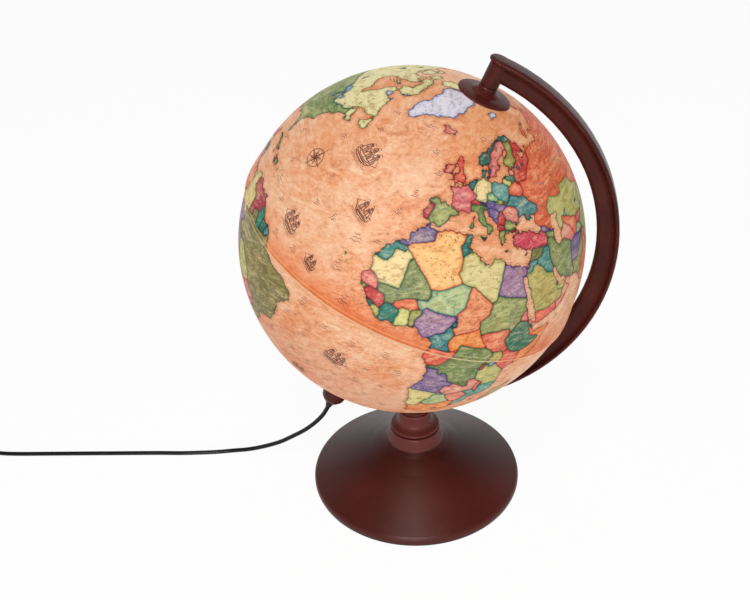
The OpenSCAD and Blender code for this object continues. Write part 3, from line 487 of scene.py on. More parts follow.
# ---------------------------------------------------------------- map
# Land, lakes and countries as outlines in degrees, longitude then latitude. A line that starts with a blank goes on
# with the outline above it. Countries may reach out to sea; each starts with the code of its tint.
LAND = """
-6,36 -5,35.5 -3,35.2 -2,35 0,36 3,37 5,36.8 8,37 10,37.3 11,37 10.2,36.5 10.6,35.5 10,34.3 11,33.6 12.5,32.8
 15.2,32.4 15.5,31.3 18,30.4 20,31 20,32 21.7,32.9 23,32.6 25,31.6 27,31.2 29,30.9 31,31.5 32.3,31.2 34.2,31.3
 34.9,29.5 34.3,28 33,28.5 32.5,29.9 33.3,28 34,26.5 35.5,24 37.3,21 37.2,19 38.5,18 39.5,15.5 41,14.7 43,12.6
 43.3,11.5 44.5,10.4 47,11 51.2,12 51,10.4 49.5,7 48,4.2 46,2.4 43,-0.5 41.5,-1.9 40,-3 39.2,-5 39.5,-7 40.5,-10.5
 40.8,-14.5 39,-17 37,-18 35,-20 35.5,-23 33,-25.4 32.8,-27.5 31,-29.8 28.5,-32.7 26,-33.8 22.5,-34 20,-34.8 18.4,-34
 18.2,-32 17,-29.5 15.2,-27 14.5,-23 13,-20 11.8,-17.5 13.5,-12.5 13.8,-11 13,-9 13.2,-7.5 12,-5 11,-4 9.2,-2 9.5,1
 9.8,3.5 8.7,4.6 7,4.4 5.5,5.3 4,6.4 1.3,6.1 -2,4.8 -4,5.2 -7.5,4.4 -9.5,5.7 -12,7.3 -13.2,9 -15,11 -16.8,12.5
 -17.5,14.7 -16.3,17 -16.2,19 -17,21 -16,23.5 -14.5,26 -13,27.7 -11.5,28.5 -9.8,30 -9.8,31.5 -8.5,33.3 -6.8,34.1
49.3,-12 50.3,-15.5 49.5,-17 48,-22 47,-25 45,-25.5 43.7,-23.5 43.3,-22 44.4,-20 44,-17 45,-16 46.5,-15.7 48,-14
-5.5,36 -6.5,36.9 -8.9,37 -9.4,38.7 -8.8,41 -9.2,43.1 -8,43.7 -4,43.5 -1.6,43.4 -1.2,45 -2.5,47.3 -4.7,48 -4.5,48.6
 -1.8,48.6 -1.5,49.7 0,49.3 1.6,50.4 2.5,51.1 4,52 5,53.3 8,53.7 8.7,55.5 8.1,57 10.6,57.7 10.3,56.5 10.9,54.3 14,54
 18.5,54.8 20,54.6 21.1,56.8 22.5,57.5 24,57.2 24.5,58.3 23.5,59.2 28,59.5 30,59.9 28.5,60.6 25,60.1 23,59.9 21.3,61
 21.5,63 25,65 24.5,65.8 22,65.7 21,64.4 17.3,62 17,60.6 19,59.8 16.5,57.5 16,56.2 14.3,55.5 12.8,55.4 12.5,56.3
 11.2,58.9 10.5,59.4 8,58 5.6,58.8 5,61 6,62.6 9,63.6 12,66 15,68.3 19,70 23,70.9 28,71.1 31,70.3 30,69.6 33,69.4
 38,68.3 41,67 41,66.4 38,66.1 33.5,66.7 35,64.4 37,63.9 37.5,64.8 40,64.7 40,65.5 42,66.4 44,66 44,68.4 46,68
 46.5,66.8 50,68 54,68.4 60,68.8 66,69 67,70.8 67,73 70,73.4 73,71.5 74,72.8 80,73 81,74 87,75 98,76.3 104,77.6
 107,76.6 113,75.6 106,73.2 114,73.6 119,73 127,73.5 130,71 140,72.6 150,71.6 160,69.7 170,69.9 180,69 180,65 177,64.7
 179,62.5 170,60 164,59.9 163,58 162,56 160,53 157,51 155.7,54 156,57.5 161,60 164,62.4 160,61.8 155,59.4 149,59.5
 142,59 137,54 141,53 140,48.4 135,43.5 131,42.7 129.7,41 127.5,39.6 129.4,37 129,35.2 126.5,34.5 126.5,37 125,38.5
 124.5,40 121.5,39 122,40.6 119,39.2 118,38.3 121,37.5 119.3,35.2 121.8,31.7 121.8,29 119.5,25.5 116.5,23 113,22
 110,20.4 109.5,21.5 107,21 105.8,19 108.8,15.4 109.3,12 107,10.4 105,8.7 105,10.3 102.5,12 100.9,12.8 100,13.4
 99.5,10 100.5,7.3 103.4,4 104.2,1.4 101.5,2.8 100.3,5.8 98.4,8.2 98.6,11.5 97.7,15.5 95,15.8 94.4,17.5 92.3,21
 90.5,22.6 88,21.7 86.8,20.4 83.5,17.9 80.3,15.3 80.2,12.5 79.5,10.3 77.8,8.3 76.4,9.8 74.8,13 73,17 72.8,20.5
 70.5,20.8 69,22.3 67.2,24.6 62,25.2 57.5,25.7 56.8,27 54.5,26.6 51,28 50,30.1 48,30 48.3,28.3 50.2,26.3 51,24.6
 51.4,26 52,24.1 54.5,24.3 56.3,26.2 57,24 59.8,22.6 58,20 55.3,17.4 52,15.6 45,12.8 43.4,12.7 42.7,16 40.5,19.8
 39,21.8 37.3,24.3 35,28 35,29.5 34.3,31.3 35,33 35.9,35.5 36.1,36.8 34,36.3 31,36.6 28,36.7 27,38.4 26.2,39.5
 27.5,40.4 29,40.5 29,41.2 31.5,41.3 35,42 38,41 41.5,41.5 39,44 37,45 38,46.8 39.3,47.2 35.3,46.4 34.8,45.9 36.6,45.3
 35.2,45 33.5,44.5 32.5,45.4 33.5,46.1 31,46.6 29.7,45.2 28.6,43.5 27.8,42.5 28.8,41.2 26,40.8 24,40.7 22.9,40.4
 23,39.2 24,38 23,37.4 22.5,36.5 21.5,37.2 21.3,38.3 20,39.6 19.4,41.5 18.5,42.4 15.5,43.9 13.7,45.2 12.3,45.3
 12.4,44.2 13.7,43.4 14.2,42.4 16.2,41.8 18.4,40.2 17,40.4 16.8,39.5 16.2,38 15.7,38 16,39 15.2,40.1 13,41.2 11,42.4
 10,44 8.8,44.4 7.5,43.8 6,43 3.2,43.3 3,41.9 0.7,40.8 -0.2,39.5 -0.5,38.3 -2,36.7 -4.4,36.7
-5.5,50.1 -3.5,50.3 0,50.8 1.4,51.2 0.5,51.6 1.7,52.6 0.3,53 0,53.6 -1.5,55 -2.1,56 -3,56.2 -1.8,57.5 -4,57.8
 -3.1,58.6 -5,58.6 -6.2,57 -5.6,56 -4.8,54.9 -3,54.9 -3,53.5 -4.6,53.2 -4.2,52.4 -5.2,51.9 -3,51.4 -4.5,51
-6,52.2 -6,54 -5.6,54.6 -7.2,55.3 -8.5,54.5 -10,54.2 -9.2,53 -10.3,52 -9,51.5
-22.5,64 -20,63.5 -16,64.2 -13.7,65 -15,66.3 -18,66 -20.5,65.8 -22.5,66.4 -24.3,65.5 -22,64.8
-44,60 -48,61 -51,64 -53.7,67 -51,69.5 -55,71.5 -58,75 -66,76 -71,77.5 -66,79.5 -60,82 -45,82.3 -32,83.5 -20,82 -17,80
 -20,77 -19,74.5 -23,72 -22,70.3 -28,68.4 -34,66.4 -40,65 -42,62
11,79 14,77 17,76.6 18,78 23,78.5 25,80 15,80
52,71.5 56,70.7 57,73 62,75 68,76.8 62,76 55,74.5
95,79.5 100,78.5 104,79 97,81
137,75.5 150,75 145,76 138,76
12.5,38 15.5,38.2 15.1,36.7 12.5,37.7
8.3,39 9.6,39.2 9.7,41 8.4,40.9
8.7,41.5 9.4,41.8 9.4,43 8.6,42.4
23.6,35.3 26.2,35 26.2,35.4 23.7,35.7
32.4,34.8 33,34.6 34,35 34.5,35.7 33,35.3
11,55.2 12.5,55 12.6,56 11,55.7
2.5,39.4 3.4,39.5 3,40
-16.8,28 -16.2,28 -16.2,28.5 -16.8,28.5
-14.3,28 -13.9,28.3 -13.6,28.9 -14,28.6
-25,16.8 -24.5,16.8 -24.4,17.2 -24.9,17.2
-23.7,14.8 -23.3,14.8 -23.3,15.3 -23.8,15.2
-168,65.6 -162,66.5 -163.5,67.5 -166.5,68.4 -163,69.5 -156.5,71.3 -150,70.5 -141,69.7 -135,69.3 -128,70.3 -124,69.8
 -115,68.6 -108,68 -102,68 -96,68.3 -94,71.8 -90,69 -86,69.6 -82,69.6 -82,67 -87,65.5 -88,64 -94,62 -95,60 -94.7,58.8
 -92.5,57 -85,55.3 -82.3,55 -82.2,52.8 -80,51.3 -79,52 -79,54.6 -77,56.5 -78.4,59 -77.5,62.4 -73.5,62.3 -70,61
 -69,58.8 -66,58.8 -64.5,60.3 -62,57.5 -60,55.3 -56,52.4 -58.5,51.3 -66,50.2 -70,47.5 -66,48.8 -64.6,47.7 -64.3,46
 -61,45.9 -61.5,45.4 -66,43.5 -65,45.4 -67,44.8 -70,43.7 -70.7,42 -71,41.5 -74,40.6 -75,38.5 -76,37 -75.8,35.3 -78,34
 -81,31.8 -81.3,29.8 -80,26.8 -80.5,25.2 -82,26.7 -82.8,28.8 -84,30 -86,30.4 -89,30.2 -90,29.1 -94,29.5 -97.2,27.8
 -97.6,25 -97.6,21.8 -95,18.7 -92,18.5 -90.7,19.5 -90,21 -87,21.5 -88,18.5 -88.7,15.9 -84,15.8 -83.3,14.8 -83.7,11
 -82,9 -79.5,9.6 -77.3,8.7 -77.5,7.3 -80,7.4 -80.5,8.3 -83,8.3 -85.7,10 -87.6,13 -92,14.5 -94.5,16.2 -97,15.8
 -101.7,17.8 -105.3,19.7 -105.5,21.5 -108.5,25.3 -112.5,29.5 -114.7,31.7 -112.8,28 -110,23 -112,24.7 -114.5,27.2
 -116,30 -117.2,32.7 -120.6,34.6 -122.5,37.8 -124.3,40.4 -124,46 -124.7,48.3 -123,48.5 -128,51 -130,54.5 -134,58
 -140,59.8 -146,60.8 -151,59.5 -154,58.5 -160,55.7 -164.7,54.7 -158,57.7 -157.5,58.8 -162,58.7 -165.5,61.5 -164.5,63
 -161,64.4 -166,64.5
-62,66.3 -65,63 -71,62.8 -77.5,64.5 -73,67 -78,70 -89,71 -89,73.5 -80,73.7 -70,71 -62,67.5
-90,76.5 -78,76.5 -70,79.5 -62,82.3 -70,83.1 -85,82.3 -95,80
-117,69.5 -105,69.2 -102,70.5 -108,73 -117,73 -125,71.8 -125,74.3 -118,75 -112,73.5 -118,71.5
-96,72.5 -91,74 -100,76.5 -105,75 -100,73
-87,63.5 -81,64 -80,63.5 -86,62.7
-59,47.7 -55.5,46.8 -53,46.8 -53,48.6 -56,51.5
-128.3,50.7 -124,48.4 -123.5,48.5 -125.5,50.3
-85,21.9 -82,23.1 -79,22.8 -75,20.7 -74.2,20.2 -77.5,19.9 -78.5,21.3 -82,22.2
-74.4,18.5 -71.5,17.8 -68.4,18.4 -70,19.8 -73.3,19.9 -72.6,18.8
-78.3,18.4 -76.3,17.8 -76.8,18.5
-67.2,17.9 -65.6,18 -65.7,18.5 -67.1,18.5
-78.2,24 -77.7,24 -78,25.2
-61.9,10.1 -61,10.1 -61,10.8 -61.7,10.8
-77.3,8.7 -75.5,10.8 -72,12.2 -71.5,10.8 -70,12 -68,10.7 -64,10.3 -62,10.6 -60,8.5 -57,6 -52,5 -50,1 -48.5,-1
 -44.5,-2.5 -40,-3 -37.2,-4.9 -35.2,-5.5 -34.8,-8 -37,-11 -39,-13 -39,-17.5 -40.8,-21.5 -42,-23 -45,-23.7 -48.5,-26
 -48.7,-28.5 -52,-33 -54,-34.8 -58.2,-34 -57,-36.5 -62,-38.9 -65,-41 -63.7,-42.5 -65.3,-45 -67.5,-46.3 -65.8,-48
 -69,-51 -68.3,-52.5 -65,-54.8 -69,-55.3 -74,-52.5 -75.5,-47 -73,-42 -73.6,-37.5 -71.6,-33 -71.5,-30 -70.2,-20
 -70.4,-18.4 -76,-14 -79.7,-7.3 -81.3,-5 -80.3,-3.4 -81,-1.5 -80,0.8 -77.5,2.5 -77.4,5.5
-61,-51.8 -58,-51.4 -59,-52.3
-91.5,-0.8 -90.4,-0.6 -91,0.1
113.5,-24 114.2,-22 119,-20 122,-18 125,-14.5 129.5,-15 131,-12 136.7,-12.2 135.7,-15 140,-17.6 141.6,-13 142.5,-10.8
 145,-14.9 146.5,-19 150,-22.5 153.2,-26 153,-31 150,-37.3 146.3,-39 144,-38.3 140,-37.8 138,-35.5 137.7,-33
 135.5,-34.9 131,-31.5 125,-32.6 123.5,-34 118,-35 115,-34.2 115.7,-31.5 113.5,-26
144.7,-41 148.3,-41 147.5,-43.5 146,-43.5
131,-0.8 134,-0.9 135,-3.3 138,-1.7 141,-2.6 145.7,-5 147.8,-6 147,-7 150.8,-10.4 147,-9.5 143.5,-8.5 141,-9.1
 138,-8.3 138,-5.8 133,-4 132,-2.9 134,-2.3
149,-5.8 152,-4.2 152,-5 150,-6.3
164,-20.2 167,-22.3 166,-22.2
109,1.5 111.3,2.5 113,3.3 116.8,7 119,5 117.5,1 116.5,-2.5 114.5,-4 110.2,-2.9 109,0
95.3,5.5 98,4 100.5,2 103.5,-1 106,-3 105.8,-5.8 104.5,-5.8 101,-2.5 98.7,1.7
105.3,-6.8 106,-6 110.8,-6.4 114.4,-7.8 114.4,-8.6 108,-7.8
115,-8.2 119,-8.2 119,-8.9 115.5,-8.9
124,-9.3 127,-8.4 125.5,-9.5 123.7,-10.3
119.5,-5.5 120.4,-5.4 120.5,-3 122.3,-4.8 121.8,-2 123.3,-0.9 120.2,-1 120.2,0.6 124,0.4 125,1.6 120.8,1.3 119.8,0
 118.8,-2.8
127.5,0 128.7,1.5 128,2 127.6,1
128,-3 130.8,-3.2 129,-3.6
120.3,16 120.8,18.5 122.2,18.4 121.6,16 124,13.7 124,12.7 120.6,13.8
122,7 123.5,8.6 126.2,9 126.3,6.3 125.4,5.7 124,7.4
122,11.8 125.5,12.3 125,10 122.5,9.5
117.2,8.5 119.5,11 119,10.8 117.2,8.9
120.2,23 121,22 121.8,25 121,25
108.7,19 111,19.8 109.8,18.2
79.8,8 80.2,9.7 81.8,7.5 81,6.1 80,6.1
129.8,33 131,34.3 135,35.7 137,37.2 139.4,38.3 140,40 140.3,41.2 141.5,41.4 142,39.5 141,38 140.8,35.7 138.8,34.7
 137,34.6 135.7,33.5 133.5,33.8 132,32.9 131.3,31.4 130.3,31.3
140,41.6 141,42.5 143.2,42 145.5,43.3 142,45.5 141.6,43.3 140,42.6
142,46 143.5,46.5 143,49.3 144.5,49 143,54 142,53.5
172.7,-34.5 175.5,-36.5 178.5,-37.7 177,-39.5 175.3,-41.5 173.8,-39.3 174.8,-37.5
172.7,-40.6 174.3,-41.6 171,-44.5 169,-46.6 166.5,-46 170.5,-43
69,-49 70.5,-49 70,-49.7
-38,-54 -36,-54.3 -36.5,-54.8
-157,21.2 -155,19 -155,20.2
177.3,-17.8 178.6,-17.6 178,-18.2
-180,69 -175,67.5 -170,66 -173,64.3 -180,65
-180,-90 -180,-78 -165,-78.5 -150,-76.5 -135,-74.5 -120,-74 -100,-73 -85,-73.3 -75,-73 -68,-72 -66,-67.5 -58,-63.3
 -61,-66 -62,-74 -70,-77 -60,-77 -40,-78 -30,-77 -20,-73.5 -10,-71 10,-70 35,-69 50,-66.5 70,-68.5 90,-66.7 110,-66
 135,-66.2 150,-68.5 170,-71.5 165,-78 180,-78 180,-90
"""
WATER = """
47,44.8 47.5,43 49.5,41 49,39 50.2,37.4 53.8,36.9 53.9,39 53,40 54.5,41 52.7,42.5 51.2,44.5 53,45.4 53,46.8 49.3,46.4
"""
LAKES = """
31.7,-1 33,0.3 34,-0.3 33.3,-2.3 32,-2.5
29.1,-3.4 29.6,-5.5 30.9,-8.8 30.6,-7.5 29.6,-4.8
34,-9.6 34.7,-12 35.3,-14.2 34.5,-13.5 34.1,-11
13.5,13 14.5,13.9 14.5,12.8
-92,46.8 -88.5,48.8 -85,47.8 -84.6,46.5 -87.5,46.6
-87.8,42 -86.3,42.2 -86.5,44 -85,45.9 -87.5,45
-84.3,45.8 -83.3,44 -82.4,43.1 -81.3,44.8 -80,45 -81,46
-83.3,41.7 -79,42.8 -80,42.2
-79.7,43.3 -76.3,44 -76.5,43.4
-98.5,53.5 -96.5,51 -98.5,51.5
-116,61.5 -110,62.5 -112,61
-125,66 -119,66.5 -122,65
104,51.5 108.5,53 110,55.7 108.8,54.5 106,52.3
30.2,61 32.8,61 32.5,60 31,60
34.8,61.3 36.2,61.9 35.8,62.5 34.9,62
58.5,45 60.5,46.5 60.5,44.5
74,46.2 78,46.8 78,46.4 74.5,45.7
"""
